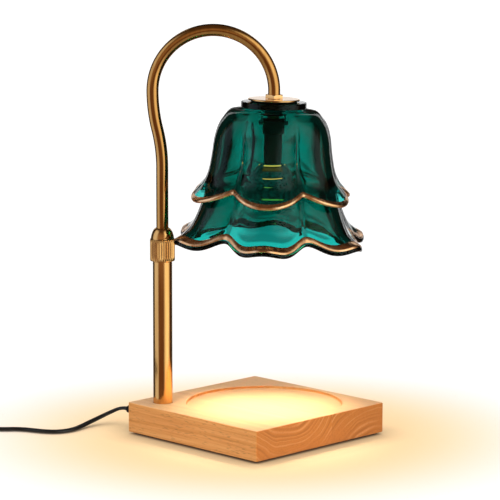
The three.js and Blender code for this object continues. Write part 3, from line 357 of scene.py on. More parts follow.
def skin(name, rows, closed=False, crease=38, mapped=False):
    """Skin over rows of points that run round a piece. Each row joins its own end; the last row
    joins the first when closed, and otherwise both end rows close on their middle points."""
    n, m = rows.shape[:2]
    points = rows.reshape(-1, 3)
    i, j = np.meshgrid(np.arange(n if closed else n - 1), np.arange(m), indexing="ij")
    i, j, k, up = i.ravel(), j.ravel(), (j.ravel() + 1) % m, (i.ravel() + 1) % n
    quads = np.stack([i * m + j, i * m + k, up * m + k, up * m + j], 1)
    fans = np.zeros((0, 3), int)
    if not closed:
        points = np.vstack([points, rows[0].mean(0), rows[-1].mean(0)])
        j = np.arange(m)
        k = (j + 1) % m
        first = np.stack([np.full(m, n * m), k, j], 1)
        last = np.stack([np.full(m, n * m + 1), (n - 1) * m + j, (n - 1) * m + k], 1)
        fans = np.vstack([first, last])
    tris = np.vstack([quads[:, :3], quads[:, [0, 2, 3]], fans])
    a, b, c = (points[tris[:, s]] for s in range(3))
    outward = np.einsum("ij,ij->", a, np.cross(b, c)) > 0
    if not outward:
        quads, fans = quads[:, ::-1], fans[:, ::-1]
    mesh = bpy.data.meshes.new(name)
    mesh.from_pydata((points * MM).tolist(), [], quads.tolist() + fans.tolist())
    if mapped:
        ahead = np.linalg.norm(np.diff(rows.mean(1), axis=0), axis=1)
        along = np.concatenate([[0], np.cumsum(ahead)]) * MM
        i, j = np.divmod(np.arange((n - 1) * m), m)
        u = np.stack([j, j + 1, j + 1, j], 1) / m
        v = along[np.stack([i, i, i + 1, i + 1], 1)]
        if not outward:
            u, v = u[:, ::-1], v[:, ::-1]
        ends = np.zeros((len(fans) * 3, 2))
        ends[len(fans) * 3 // 2:, 1] = along[-1]
        uv = np.vstack([np.stack([v, u], -1).reshape(-1, 2), ends[:, ::-1]])
        layer = mesh.uv_layers.new(name="along")
        layer.data.foreach_set("uv", uv.ravel())
    mesh.shade_smooth()
    mesh.set_sharp_from_angle(angle=math.radians(crease))
    piece = bpy.data.objects.new(name, mesh)
    bpy.context.scene.collection.objects.link(piece)
    return piece


def curve_through(points, per_span):
    """Centripetal Catmull-Rom curve through the rows of an array, with that many steps a span."""
    p = np.asarray(points, float)
    p = np.vstack([2 * p[:1] - p[1:2], p, 2 * p[-1:] - p[-2:-1]])
    step = np.sqrt(np.linalg.norm(np.diff(p, axis=0), axis=1))
    a, b, c, d = p[:-3], p[1:-2], p[2:-1], p[3:]
    d0, d1, d2 = (step[s:len(step) - 2 + s, None] for s in range(3))
    out = ((b - a) / d0 - (c - a) / (d0 + d1) + (c - b) / d1) * d1
    into = ((c - b) / d1 - (d - b) / (d1 + d2) + (d - c) / d2) * d1
    t = np.linspace(0, 1, per_span, endpoint=False)[None, :, None]
    b, c, out, into = b[:, None], c[:, None], out[:, None], into[:, None]
    curve = b + out * t + (3 * (c - b) - 2 * out - into) * t**2 + (2 * (b - c) + out + into) * t**3
    return np.vstack([curve.reshape(-1, p.shape[1]), p[-2:-1]])


def rounded(corners, closed=False, steps=5):
    """Outline whose corners, given as radius, height and rounding, become short arcs."""
    p = np.array([(r, z) for r, z, *_ in corners], float)
    rounding = np.array([(*c, 0.05)[2] for c in corners])[:, None]
    before, after = np.roll(p, 1, 0) - p, np.roll(p, -1, 0) - p
    long0, long1 = (np.linalg.norm(v, axis=1, keepdims=True) for v in (before, after))
    reach = np.minimum(rounding, 0.45 * np.minimum(long0, long1))
    start, end = p + before / long0 * reach, p + after / long1 * reach
    t = np.linspace(0, 1, steps)[None, :, None]
    arcs = (1 - t) ** 2 * start[:, None] + 2 * t * (1 - t) * p[:, None] + t**2 * end[:, None]
    if closed:
        return arcs.reshape(-1, 2)
    return np.vstack([p[:1], arcs[1:-1].reshape(-1, 2), p[-1:]])


def spun(outline, sides=96, ripple=None):
    """Points of an outline of radius and height turned about the upright axis. A ripple changes
    the radius by height and angle."""
    a = np.linspace(0, FULL, sides, endpoint=False)[None]
    r, z = outline[:, :1] + 0 * a, outline[:, 1:] + 0 * a
    if ripple:
        r = ripple(r, z, a + 0 * r)
    return np.stack([r * np.cos(a), r * np.sin(a), z], -1)


def turned(name, corners, place=None, closed=False, sides=96, ripple=None, steps=5):
    """Piece turned from corners of radius, height and rounding, then moved to its place."""
    rows = spun(rounded(corners, closed, steps), sides, ripple)
    return skin(name, place(rows) if place else rows, closed)


def on_stem(p):
    return p + (STEM_X, 0, 0)


def hung(p):
    """Places points of the shade's own axes, whose origin is the top of the glass collar."""
    x, y, z = np.moveaxis(p, -1, 0)
    c, s = math.cos(TILT), math.sin(TILT)
    return np.stack([x * c + z * s + SHADE_X, y, z * c - x * s + SHADE_TOP], -1)


def level_towards(heading, origin):
    """Turns points made along the upright axis so that they lie level along a heading."""
    c, s = math.cos(heading), math.sin(heading)
    return lambda p: np.stack([
        p[..., 2] * c - p[..., 1] * s, p[..., 2] * s + p[..., 1] * c, -p[..., 0],
    ], -1) + origin


def rectangle(half_x, half_y, corner, arc=6, straight=1):
    """Rounded rectangle: quarter arcs joined by straight sides, anticlockwise."""
    sweep = np.linspace(0, math.pi / 2, arc + 1)
    parts = []
    for quarter in range(4):
        turn = quarter * math.pi / 2
        side = np.array([[1, 1], [-1, 1], [-1, -1], [1, -1]][quarter])
        arcs = side * (half_x - corner, half_y - corner) + corner * np.stack(
            [np.cos(sweep + turn), np.sin(sweep + turn)], -1)
        parts.append(arcs)
    if straight > 1:
        for quarter in range(4):
            start, end = parts[quarter][-1], parts[(quarter + 1) % 4][0]
            t = np.linspace(0, 1, straight + 1)[1:-1, None]
            parts[quarter] = np.vstack([parts[quarter], start + (end - start) * t])
    return np.vstack(parts)


def block(name, half_x, half_y, corner, levels, place=None):
    """Rounded rectangle carried up through levels of inset and height."""
    rows = [
        np.column_stack([
            rectangle(half_x - inset, half_y - inset, max(corner - inset, 0.1)), np.full(28, z),
        ])
        for inset, z in levels
    ]
    rows = np.stack(rows)
    return skin(name, place(rows) if place else rows)


def edge(radius, z, side, inner=0.0, steps=5):
    """Levels of a rounded edge: from the flat at height z to the wall, below it for side -1."""
    t = np.linspace(0, math.pi / 2, steps)
    inset = inner + radius * (1 - np.sin(t))
    height = z + side * radius * (1 - np.cos(t))
    return list(zip(inset, height))


def bored(piece, *cutters):
    """Takes cutters out of a piece and removes them."""
    for cutter in cutters:
        cut = piece.modifiers.new("bore", "BOOLEAN")
        cut.operation, cut.solver, cut.object = "DIFFERENCE", "EXACT", cutter
    evaluated = piece.evaluated_get(bpy.context.evaluated_depsgraph_get())
    mesh = bpy.data.meshes.new_from_object(evaluated)
    piece.modifiers.clear()
    piece.data = mesh
    mesh.set_sharp_from_angle(angle=math.radians(38))
    for cutter in cutters:
        bpy.data.objects.remove(cutter)
    return piece


BODY_OF = {node: body for body, nodes in frame["record"]["behaviour"]["bodies"].items() for node in nodes}
SLOTS = {part["node"]: part["material_slot"] for part in frame["record"]["subparts"]}


def dress(piece, *nodes, finish=None):
    """Gives a piece the finish of its first node's slot, or the finish named, the body of that node, and
    hides the nodes.
    """
    slot = SLOTS[nodes[0]]
    piece.data.materials.clear()
    piece.data.materials.append(FINISH[finish or slot])
    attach(piece, BODY_OF[nodes[0]])
    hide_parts(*nodes)
    return piece


# Places and sizes shared by several pieces

# Radius beside the axis, where the outline of a turned solid starts and ends
AXIS = 0.01
STEM_X = -77
STEM_RADIUS = 8
TUBE_WALL = 1
POCKET_RADIUS = 17
POCKET_TOP = 5.5
NECK_BOTTOM = 74.0
STEM_TOP = 145.3
BLOCK_BOTTOM = 1.5
BLOCK_TOP = 26.5
TRAY_FLOOR = 24
ARCH_TOP = 340
ARCH_RADIUS = 49.5
NECK_RADIUS = 5
BULGE = 7.7
BEND_HEIGHT = 62.8
FLANGE_DROP = 7.4
NECK_THREAD = 14.5
TILT = math.radians(1.4)
ARCH_CENTRE = ARCH_TOP - NECK_RADIUS - ARCH_RADIUS
SHADE_X = STEM_X + 2 * ARCH_RADIUS * math.cos(TILT / 2) ** 2 - BULGE - FLANGE_DROP * math.sin(TILT)
SHADE_TOP = ARCH_CENTRE - ARCH_RADIUS * math.sin(TILT) - FLANGE_DROP * math.cos(TILT)
CORD_HEADING = math.radians(135)
CORD_HEIGHT = 14
CORD_HALF_WIDTH = 2.5
CORD_HALF_HEIGHT = 1.5
SLEEVE_WIDE = 4.6
SLEEVE_NARROW = 3.1
DIMMER = (-308, 88)
DIMMER_AXIS = 7.15
PLUG_X = -277.5
PLUG_AXIS = 6.5
CORD_FLOOR = 1.6


# Cords

CORD_ROUTE = [
    (-107.2, 30.2, 14), (-109, 32, 13.98), (-110.8, 33.8, 13.8), (-115.3, 36.7, 12.6),
    (-121.5, 37, 10), (-128.5, 34.6, 7.1), (-135, 30, 4.8), (-140.8, 23.8, 3.2),
    (-145.8, 16.4, 2.2), (-151.2, 8.7, 1.7), (-158.4, 2, 1.6), (-167, -0.9, 1.6),
    (-176, 0.6, 1.6), (-184.5, 3.9, 1.6), (-192.5, 7.2, 1.6), (-200.5, 8.6, 1.6),
    (-208.5, 8.2, 1.6), (-216, 8.6, 1.6), (-223.5, 11.4, 1.6), (-230, 17, 1.6),
    (-234.5, 24.8, 1.6), (-236.2, 34, 1.6), (-236.4, 44, 1.7), (-236.4, 54, 2.4),
    (-236.4, 64, 4.2), (-237.2, 73, 5.9), (-240.6, 80.6, 6.9), (-246, 86, 7.15),
    (-251.4, 88, 7.15), (-254.4, 88, 7.15), (-257.2, 88, 7.15), (-260, 88, 7.15),
]


def coil_route():
    """Out of the dimmer, round a half circle down to the floor, in along the lower layer, out
    along the upper one, and straight on to the plug."""
    x, y = -358.6, 88
    coil_x, coil_y, radius, pitch, layer, turns = -315, 10.5, 37.5, 5.6, 3.8, 3.125
    bend, straight, tail = 20, 5, 43
    t = np.arange(1, 13) / 12
    a = math.pi * (0.5 + t)
    back = np.column_stack([
        x - straight + bend * np.cos(a), y - bend + bend * np.sin(a),
        DIMMER_AXIS + (CORD_FLOOR - DIMMER_AXIS) * t * t * (3 - 2 * t),
    ])
    s = np.arange(1, 4) / 4
    run = np.column_stack([
        x - straight + (coil_x - x + straight) * s, np.full(3, y - 2 * bend), np.full(3, CORD_FLOOR),
    ])
    n = np.linspace(0, 2 * turns, int(2 * turns * 40) + 1)
    left = np.abs(n - turns)
    dip = np.where(left < 0.75, 0.75 * np.cos(math.pi * left / 1.5) ** 2, 0)
    r = radius - pitch * (turns - left + dip)
    climb = np.clip((n - turns) * 2 + 0.5, 0, 1)
    a = math.pi / 2 - FULL * n
    loops = np.column_stack([
        coil_x + r * np.cos(a), coil_y + r * np.sin(a), CORD_FLOOR + layer * climb**2 * (3 - 2 * climb),
    ])
    share = np.array([(0.35, 0), (0.7, 0.6), (1 - straight / tail, 1), (1, 1)])
    last = loops[-1]
    lead = np.column_stack([
        np.full(4, last[0]), last[1] - tail * share[:, 0], last[2] + (PLUG_AXIS - last[2]) * share[:, 1],
    ])
    start = np.array([[x, y, DIMMER_AXIS], [x - straight, y, DIMMER_AXIS]])
    return np.vstack([start, back, run, loops, lead])


def flat_cord(name, path, up=(0, 0, 1)):
    """Two-core sheath: a flat oval, 5 by 3 mm with a shallow groove on each side, carried along
    a path with its flat face towards up."""
    ahead = np.gradient(path, axis=0)
    ahead /= np.linalg.norm(ahead, axis=1, keepdims=True)
    across = np.cross(ahead, up)
    across /= np.linalg.norm(across, axis=1, keepdims=True)
    over = np.cross(across, ahead)
    a = np.linspace(0, FULL, 24, endpoint=False)
    wide = CORD_HALF_WIDTH * np.cos(a)
    oval = CORD_HALF_HEIGHT * np.sign(np.sin(a)) * np.abs(np.sin(a)) ** 0.8
    high = oval * (1 - 0.2 * np.exp(-(wide / 0.6) ** 2))
    rows = path[:, None] + across[:, None] * wide[None, :, None] + over[:, None] * high[None, :, None]
    return skin(name, rows, crease=60, mapped=True)


def ribbed(start, end, wide, narrow, ribs=6, depth=0.45):
    """Corners of a tapered sleeve with moulded grooves round it, from its wide end."""
    t = (np.arange(ribs)[:, None] + (0.25, 0.3, 0.7, 0.75)) / ribs
    r = wide + (narrow - wide) * t - np.array([0, depth, depth, 0])
    z = start + (end - start) * t
    grooves = [(float(a), float(b), 0.15) for a, b in zip(r.ravel(), z.ravel())]
    return [(wide, start, 0.4), *grooves, (narrow, end, 0.4)]


def make_cords():
    """The lead to the dimmer and the coiled cord to the plug, each a sheath along a smooth curve."""
    lead_path = curve_through(CORD_ROUTE, 5)
    coil_path = curve_through(coil_route(), 2)
    lead = dress(flat_cord("lead_cord", lead_path), "cord_lead")
    coil = dress(flat_cord("coiled_cord", coil_path), "cord_coil")
    dimmer = make_dimmer()
    plug = make_plug()


def make_slack():
    """Spare lead in the stem, which folds up in the real lamp as the neck comes down; here a long
    helix that widens towards its middle: radius 3.2 sin(pi t) squared at height 28.3 + 42.4 t."""
    low, length, radius, turns = 28.3, 42.4, 3.2, 1.5
    t = np.linspace(0, 1, 61)
    r = radius * np.sin(math.pi * t) ** 2
    a = FULL * turns * t
    path = np.column_stack([STEM_X + r * np.cos(a), r * np.sin(a), low + length * t])
    slack = dress(flat_cord("slack_helix", path, (1, 0, 0)), "slack_lead")
    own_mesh(slack)


def make_dimmer():
    """In-line dimmer: two rounded half shells, a milled thumbwheel in a slot, and two sleeves."""
    x, y = DIMMER
    half_x, half_y, corner, wall, split, top = 30, 14, 5.5, 1.6, 7, 16
    soft, bevel, fillet, overrun = 2.6, 0.3, 0.6, 2
    hole_x, head, shank, head_top = 25, 2.5, 1.5, 1.5
    slot_x, slot_y, slot_corner = 6.0, 3.6, 1.0
    place = lambda p: p + (x, y, 0)
    lower = block("dimmer_tray", half_x, half_y, corner, [
        *edge(soft, 0, 1), (0, split - bevel), (bevel, split),
        (wall, split), (wall, wall + fillet), (wall + fillet, wall),
    ], place)
    holes = [
        turned("hole", [
            (AXIS, -overrun), (head, -overrun), (head, head_top), (shank, head_top),
            (shank, 2 * overrun), (AXIS, 2 * overrun),
        ], lambda p, side=side: p + (x + side * hole_x, y, 0), sides=24)
        for side in (-1, 1)
    ]
    bored(lower, *holes)
    upper = block("dimmer_lid", half_x, half_y, corner, [
        *edge(soft, top, -1), (0, split + GAP + bevel), (bevel, split + GAP),
        (wall, split + GAP), (wall, top - wall - fillet), (wall + fillet, top - wall),
    ], place)
    through = [(0, top - wall - overrun), (0, top + overrun)]
    slot = block("slot", slot_x, slot_y, slot_corner, through, place)
    bored(upper, slot)
    wheel_z, teeth = 10.8, 20

    def milled(r, z, a):
        """Teeth across the rim, fading out at its rounded edges."""
        rim = np.clip((r - 5.6) / 0.9, 0, 1) * (np.abs(z) < 2.9)
        return r - 0.45 * rim * (0.5 - 0.5 * np.cos(teeth * a)) ** 0.7

    wheel = turned("dimmer_thumbwheel", [
        (AXIS, -3), (5.7, -3, 0.4), (6.5, -2.4, 0.5), (6.5, 2.4, 0.5), (5.7, 3, 0.4),
        (1.5, 3, 0.2), (1.5, 7, 0.3), (AXIS, 7),
    ], lambda p: np.stack([p[..., 0], -p[..., 2], p[..., 1]], -1) + (x, y, wheel_z),
        sides=160, ripple=milled)
    dress(lower, "dimmer_lower_shell")
    dress(upper, "dimmer_upper_shell")
    dress(wheel, "dimmer_wheel")
    sleeves = []
    start, end = half_x + GAP, half_x + GAP + 20
    corners = [(AXIS, start), *ribbed(start, end, SLEEVE_WIDE, SLEEVE_NARROW), (AXIS, end)]
    for node, heading in (("dimmer_sleeve_in", 0), ("dimmer_sleeve_out", math.pi)):
        sleeve = turned(f"{node}_ribbed", corners, level_towards(heading, (x, y, DIMMER_AXIS)), sides=48)
        sleeves.append(dress(sleeve, node))
    inner = [frame["nodes"][n] for n in ("dimmer_board", "dimmer_pot", "dimmer_screw_1", "dimmer_screw_2")]
    return [lower, upper, wheel, *sleeves, *inner]


def make_plug():
    """Two-blade plug: a soft-edged moulding and a ribbed strain relief."""
    back, half_x, half_y, thick = -52.8, 12, 17, 13
    soft, corner, inside, outside, ribs = 3, 5, -3, 20, 7
    shell = block("plug_moulding", half_x, half_y, corner, [
        *edge(soft, 0, 1), *reversed(edge(soft, thick, -1)),
    ], lambda p: p + (PLUG_X, back - half_y, 0))
    corners = ribbed(inside, outside, SLEEVE_WIDE, SLEEVE_NARROW, ribs)
    relief = turned("plug_relief", [(AXIS, inside), *corners, (AXIS, outside)],
                    level_towards(math.pi / 2, (PLUG_X, back, PLUG_AXIS)), sides=48)
    dress(shell, "plug_body")
    dress(relief, "plug_body")
    return [shell, relief, frame["nodes"]["plug_blade_1"], frame["nodes"]["plug_blade_2"]]


# Base


def make_base():
    """Square block standing on a corner to the camera: rows run from the tray's middle over its
    round rim to the square edge, down the sides and in again underneath."""
    half, corner, bevel, support = 75, 1.6, 0.9, 0.35
    tray_x, tray, fillet, lip = 7, 64.5, 1.4, 0.9
    turn = math.pi / 4

    def square(inset, z):
        flat = rectangle(half - inset, half - inset, max(corner - inset, 0.3), 8, 24)
        c, s = math.cos(turn), math.sin(turn)
        x, y = flat.T
        return np.column_stack([x * c - y * s, x * s + y * c, np.full(len(flat), z)])

    outer = square(0, 0)
    heading = np.arctan2(outer[:, 1], outer[:, 0] - tray_x)

    def circle(r, z):
        return np.column_stack([tray_x + r * np.cos(heading), r * np.sin(heading), np.full(len(heading), z)])

    t = np.linspace(0, math.pi / 2, 7)
    rows = [circle(r, TRAY_FLOOR) for r in (2, 20, 40, tray - fillet - support)]
    for v in t:
        r = tray - fillet + fillet * math.sin(v)
        rows.append(circle(r, TRAY_FLOOR + fillet - fillet * math.cos(v)))
    for v in t:
        r = tray + lip - lip * math.cos(v)
        rows.append(circle(r, BLOCK_TOP - lip + lip * math.sin(v)))
    rows += [circle(tray + lip + support, BLOCK_TOP), square(bevel + support, BLOCK_TOP)]
    rows += [square(inset, z) for inset, z in edge(bevel, BLOCK_TOP, -1, steps=6)]
    rows += [square(0, BLOCK_TOP - bevel - support), square(0, BLOCK_BOTTOM + bevel + support)]
    rows += [square(inset, z) for inset, z in reversed(edge(bevel, BLOCK_BOTTOM, 1, steps=6))]
    rows += [square(bevel + support, BLOCK_BOTTOM)]
    body = skin("wooden_base", np.stack(rows), crease=50)
    face = half - abs(STEM_X) * math.sqrt(0.5)
    sideways = level_towards(CORD_HEADING, (STEM_X, 0, CORD_HEIGHT))
    # radius, start and end of each hole, all of which run past the faces
    cutters = [
        turned("cutter", [(AXIS, low), (radius, low), (radius, high), (AXIS, high)], where, sides=sides)
        for radius, low, high, where, sides in (
            (STEM_RADIUS + GAP, 3, 40, on_stem, 96), (POCKET_RADIUS, -2, POCKET_TOP, on_stem, 96),
            (4.1, 0, face + 5, sideways, 48),
        )
    ]
    dress(bored(body, *cutters), "base_block")

    boot = turned("cord_grommet", [
        (AXIS, face - 10), (3.8, face - 10, 0.3), (3.8, face + 0.3, 0.1), (6, face + 0.3, 0.3),
        (6, face + 1.8, 0.6), (4.4, face + 1.8, 0.4),
        *ribbed(face + 2.2, face + 21.8, 3.9, SLEEVE_NARROW)[1:], (AXIS, face + 21.8),
    ], sideways, sides=48)
    dress(boot, "cord_boot")


# Stem, clamp and gooseneck


def make_stem():
    """Straight tube with a hole in its side, through which the cord comes in."""
    tube = turned("stem", [
        (STEM_RADIUS, POCKET_TOP, 0.2), (STEM_RADIUS, STEM_TOP, 0.4),
        (STEM_RADIUS - TUBE_WALL, STEM_TOP, 0.3), (STEM_RADIUS - TUBE_WALL, POCKET_TOP, 0.2),
    ], on_stem, closed=True, sides=128)
    side = turned("hole", [(AXIS, 0), (3.1, 0), (3.1, 12), (AXIS, 12)],
                  level_towards(CORD_HEADING, (STEM_X, 0, CORD_HEIGHT)), sides=32)
    dress(bored(tube, side), "stem_tube")


def make_clamp_nut():
    """Knurled nut: straight flutes round a cylinder under a soft dome."""
    bottom, knurl_top, top, radius, flutes = 145.6, 163.5, 172.6, 10.25, 32
    dome = curve_through([
        (radius, knurl_top), (9.7, 164.2), (9.25, 166.3), (8.6, 168.6), (7.7, 170.6), (6.6, 172.1),
        (5.9, top),
    ], 6)
    wall = rounded([(8, bottom), (radius, bottom, 0.7), (radius, knurl_top - 0.2)], steps=7)
    flank = np.column_stack([np.full(8, radius), np.linspace(bottom + 1, knurl_top - 0.3, 8)])
    inside = rounded([
        (5.6, top - 0.4), (5.6, 166.0, 0.2), (6.1, 166.0, 0.2), (7.3, 160.7, 0.2), (8, 160.7, 0.2),
        (8, bottom + 0.3),
    ])
    outline = np.vstack([wall[:-1], flank, dome, inside])

    def fluted(r, z, a):
        """Round grooves that start above the lower bevel and end under the dome."""
        into = np.clip((z - bottom - 0.7) / 0.5, 0, 1) * np.clip((knurl_top - z) / 0.5, 0, 1)
        return r - 0.6 * into * (r > 9) * (0.5 - 0.5 * np.cos(flutes * a))

    rows = spun(outline, flutes * 12, fluted)
    dress(skin("clamp_nut_knurled", on_stem(rows), closed=True, crease=55), "clamp_nut")


def neck_path():
    """Straight out of the stem, a shallow S bend, the arch, and straight down to the shade:
    places in the plane of the arm with the heading at each."""
    angle = 2 * math.atan(BULGE / BEND_HEIGHT)
    bend = BEND_HEIGHT / math.sin(angle) / 2
    low = ARCH_CENTRE - BEND_HEIGHT
    at, heading = np.array([STEM_X, 0.0, NECK_BOTTOM]), math.pi / 2
    places, headings = [], []
    for length, radius, turn, steps in (
        (low - NECK_BOTTOM, 0, 0, 12), (0, bend, angle, 16), (0, bend, -angle, 16),
        (0, ARCH_RADIUS, -math.pi - TILT, 72), (FLANGE_DROP + NECK_THREAD, 0, 0, 6),
    ):
        t = np.linspace(0, 1, steps + 1)
        if turn:
            side = math.copysign(radius, turn)
            centre = at + side * np.array([-math.sin(heading), 0, math.cos(heading)])
            a = heading + turn * t
            p = centre + side * np.column_stack([np.sin(a), 0 * a, -np.cos(a)])
        else:
            a = np.full(steps + 1, heading)
            p = at + np.outer(t * length, (math.cos(heading), 0, math.sin(heading)))
        at, heading = p[-1], heading + turn
        places.append(p[:-1])
        headings.append(a[:-1])
    return np.vstack([*places, at]), np.append(np.concatenate(headings), heading)


def make_neck():
    """Tube carried along the gooseneck's path, its outside first and then back along its bore."""
    places, heading = neck_path()
    a = np.linspace(0, FULL, 72, endpoint=False)
    normal = np.column_stack([-np.sin(heading), 0 * heading, np.cos(heading)])
    ring = normal[:, None] * np.cos(a)[None, :, None] + np.array([0, 1, 0]) * np.sin(a)[None, :, None]
    outside = places[:, None] + NECK_RADIUS * ring
    inside = places[:, None] + (NECK_RADIUS - TUBE_WALL) * ring
    tube = skin("gooseneck", np.concatenate([outside, inside[::-1]]), closed=True)
    dress(tube, "neck_tube", finish="toned")


# Shade clamp


def make_canopy():
    """Brass disc with rounded edges and a chamfered hexagon nut on the top of the glass."""
    disc = turned("canopy_plate", [
        (5.3, 1.1, 0.1), (21.0, 1.1, 0.3), (21.3, 1.5, 0.3), (21.0, 2.5, 0.5), (12, 2.5, 3),
        (5.3, 2.5, 0.1),
    ], hung, closed=True, sides=128)
    dress(disc, "canopy_disc", finish="polished")

    def six_sided(r, z, a):
        """Flat sides cut the round outline; the top edge keeps its round chamfer."""
        flat = 7 / np.cos((a + math.pi / 6) % (math.pi / 3) - math.pi / 6)
        chamfer = 7.2 + 1.1 * np.clip((5.9 - z) / 0.7, 0, 1)
        return np.where(r > 5.5, np.minimum(np.minimum(flat, chamfer), r), r)

    nut = turned("canopy_hexagon_nut", [
        (5.3, 2.8, 0.1), (8.2, 2.8, 0.1), (8.2, 4.0, 0.1), (8.2, 5.2, 0.1), (7.5, 5.9, 0.1),
        (5.3, 5.9, 0.1),
    ], hung, closed=True, sides=144, ripple=six_sided)
    dress(nut, "canopy_nut", finish="polished")


# Bulb


def make_bulb():
    """Mains reflector bulb: oval base, flared reflector, front lens and its capsule."""
    top, neck, front = -25.9, -50.6, -79.4
    base = block("bulb_foot", 7.25, 12, 4.8, [
        *edge(1.2, top, -1), (0, top - 16), (0.4, top - 22),
        *reversed(edge(1.0, neck + 0.3, 1, inner=0.4)),
    ], hung)
    dress(base, "bulb_base")
    flare = curve_through([
        (9, neck), (12.5, neck - 2.9), (17, neck - 8.6), (21.2, neck - 15.8), (23.9, neck - 23),
        (25, front + 2.3),
    ], 6)
    rim = rounded([
        (25, front + 2.2), (25, front, 0.6), (23.8, front, 0.4), (23.8, front + 2.4, 0.2),
        (23.0, front + 2.8),
    ])
    inner = curve_through([
        (22.7, neck - 22.6), (20.0, neck - 15.6), (15.8, neck - 8.8), (11.3, neck - 4.4), (4.8, neck - 2.4),
    ], 6)
    outline = np.vstack([flare, rim[1:], inner, [(4.8, neck)]])
    dress(skin("bulb_mirror", hung(spun(outline, 120)), closed=True), "bulb_reflector")

    lens = turned("bulb_front", [
        (AXIS, front + 2.1), (23.5, front + 2.1, 0.3), (23.5, front + 0.1, 0.4),
        (12, front + 0.1, 2), (AXIS, front + 0.6),
    ], hung)
    dress(lens, "bulb_lens")
    tube = turned("bulb_tube", [
        (AXIS, neck), (4.5, neck, 0.5), (4.5, neck - 17, 4), (1.6, neck - 20.6, 1.5), (AXIS, neck - 21),
    ], hung, sides=48, steps=9)
    dress(tube, "bulb_capsule", finish="capsule")
    for name in ("bulb_mirror", "bulb_front", "bulb_tube"):
        bpy.data.objects[name].visible_glossy = False


# Glass shade

PETALS = 6
PETAL_TURN = math.radians(-4)
GLASS_WALL = 4.5
UPPER_RIM, UPPER_TIP, UPPER_CUSP, UPPER_LIP = 68.8, 78, 68, 3
ROOT_RADIUS, ROOT_TIP, ROOT_CUSP = 55.2, 66.5, 62.5
INSIDE_ROUNDING = 0.05
THICKER_ABOVE = 1.6
LOWER_RIM, LOWER_TIP, VALLEY_RISE, SHOULDER_DROP, RIM_NOSE = 83.5, 110, 5, 2, 1.5
UPPER_SHARES = np.array([
    (0.072, 0.414), (0.096, 0.523), (0.18, 0.619), (0.264, 0.683), (0.39, 0.733), (0.515, 0.757),
    (0.642, 0.779), (0.77, 0.814), (0.87, 0.872), (0.933, 0.935), (1, 1),
])
LOWER_SHARES = np.array([
    (0, 0, 0.85), (0.218, 0.081, 0.855), (0.39, 0.187, 0.855), (0.54, 0.293, 0.85),
    (0.678, 0.417, 0.84), (0.793, 0.558, 0.82), (0.876, 0.71, 0.8), (0.954, 0.876, 0.785), (1, 1, 0.77),
])


def lobe(tip, crease, a):
    """Radius of a petal's round outline at angle a from its middle, through tip and creases."""
    half = math.pi / PETALS
    centre = (tip**2 - crease**2) / (2 * (tip - math.cos(half) * crease))
    arc = tip - centre
    return centre * np.cos(a) + np.sqrt(np.maximum(arc**2 - (centre * np.sin(a)) ** 2, 0))


def upper_place(shares, a):
    """Radius and depth on the upper tier's outside: petals that part from a round top, with a
    rim that rises to a point between them."""
    down, out = shares[:, :1], shares[:, 1:2]
    crease = 1 - 0.2 * np.clip((down - 0.05) / 0.45, 0, 1)
    cusp = np.abs(a * PETALS / math.pi) ** 1.85
    radius = lobe(UPPER_RIM * out, UPPER_RIM * out * crease, a)
    return np.stack([radius, down * (UPPER_TIP + (UPPER_CUSP - UPPER_TIP) * cusp)], -1)


def lower_place(shares, a):
    """Radius and depth on the lower tier's outside: petals that melt into a waved rim."""
    down, out, crease = shares[:, :1], shares[:, 1:2], shares[:, 2:3]
    tip = ROOT_RADIUS + (LOWER_RIM - ROOT_RADIUS) * out
    wave = tip * (1 + crease) / 2 + tip * (1 - crease) / 2 * np.cos(PETALS * a)
    blend = 0.65 * down**3
    radius = lobe(tip, tip * crease, a) * (1 - blend) + wave * blend
    valley = (1 - np.cos(PETALS * a)) / 2
    root = ROOT_TIP + (ROOT_CUSP - ROOT_TIP) * valley
    shoulder = (1 - np.cos(2 * PETALS * a)) / 2
    rim = LOWER_TIP - VALLEY_RISE * valley + (SHOULDER_DROP + VALLEY_RISE / 2) * shoulder
    return np.stack([radius, root + (rim - root) * down], -1)


def inward(place, shares):
    """Unit way into the glass at each share, down the middle of a petal."""
    line = place(shares, np.zeros((1, 1)))[:, 0]
    step = np.vstack([line[1] - line[0], line[2:] - line[:-2], line[-1] - line[-2]])
    step /= np.linalg.norm(step, axis=1, keepdims=True)
    return np.column_stack([-step[:, 1], step[:, 0]])[:, None]


def smooth(rows, per_span):
    """Curve through whole rows of points at once."""
    n, m, k = rows.shape
    return curve_through(rows.reshape(n, m * k), per_span).reshape(-1, m, k)


def around_petals(count):
    """Headings round the shade and the angle of each from its petal's middle, with the crease
    between petals rounded a little."""
    turn = np.arange(count) * FULL / count
    half = math.pi / PETALS
    a = (turn + half) % (2 * half) - half
    left = half - np.abs(a)
    left = np.sqrt(left**2 + math.radians(1.7) ** 2)
    return turn + PETAL_TURN - math.pi / 2, (np.sign(a) * np.maximum(half - left, 0))[None]


def rounder(rows, shares):
    """The plunger that presses the inside is smaller and a little rounder than the mould, so the
    wall is thicker above the rim. The radius loses 1.6 mm and a twentieth of its height over the
    creases, and this loss fades out at the rim as one less the sixth power of the share."""
    r = rows[..., 0]
    share = 1 - shares[:, :1] ** 6
    extra = THICKER_ABOVE + INSIDE_ROUNDING * (r - r.min(1, keepdims=True))
    return np.stack([r - share * extra, rows[..., 1]], -1)


def around_axis(rows, heading):
    """Radius and depth at each heading, as points of the hanging shade."""
    r, d = rows[..., 0], rows[..., 1]
    return hung(np.stack([r * np.cos(heading), r * np.sin(heading), -d], -1))


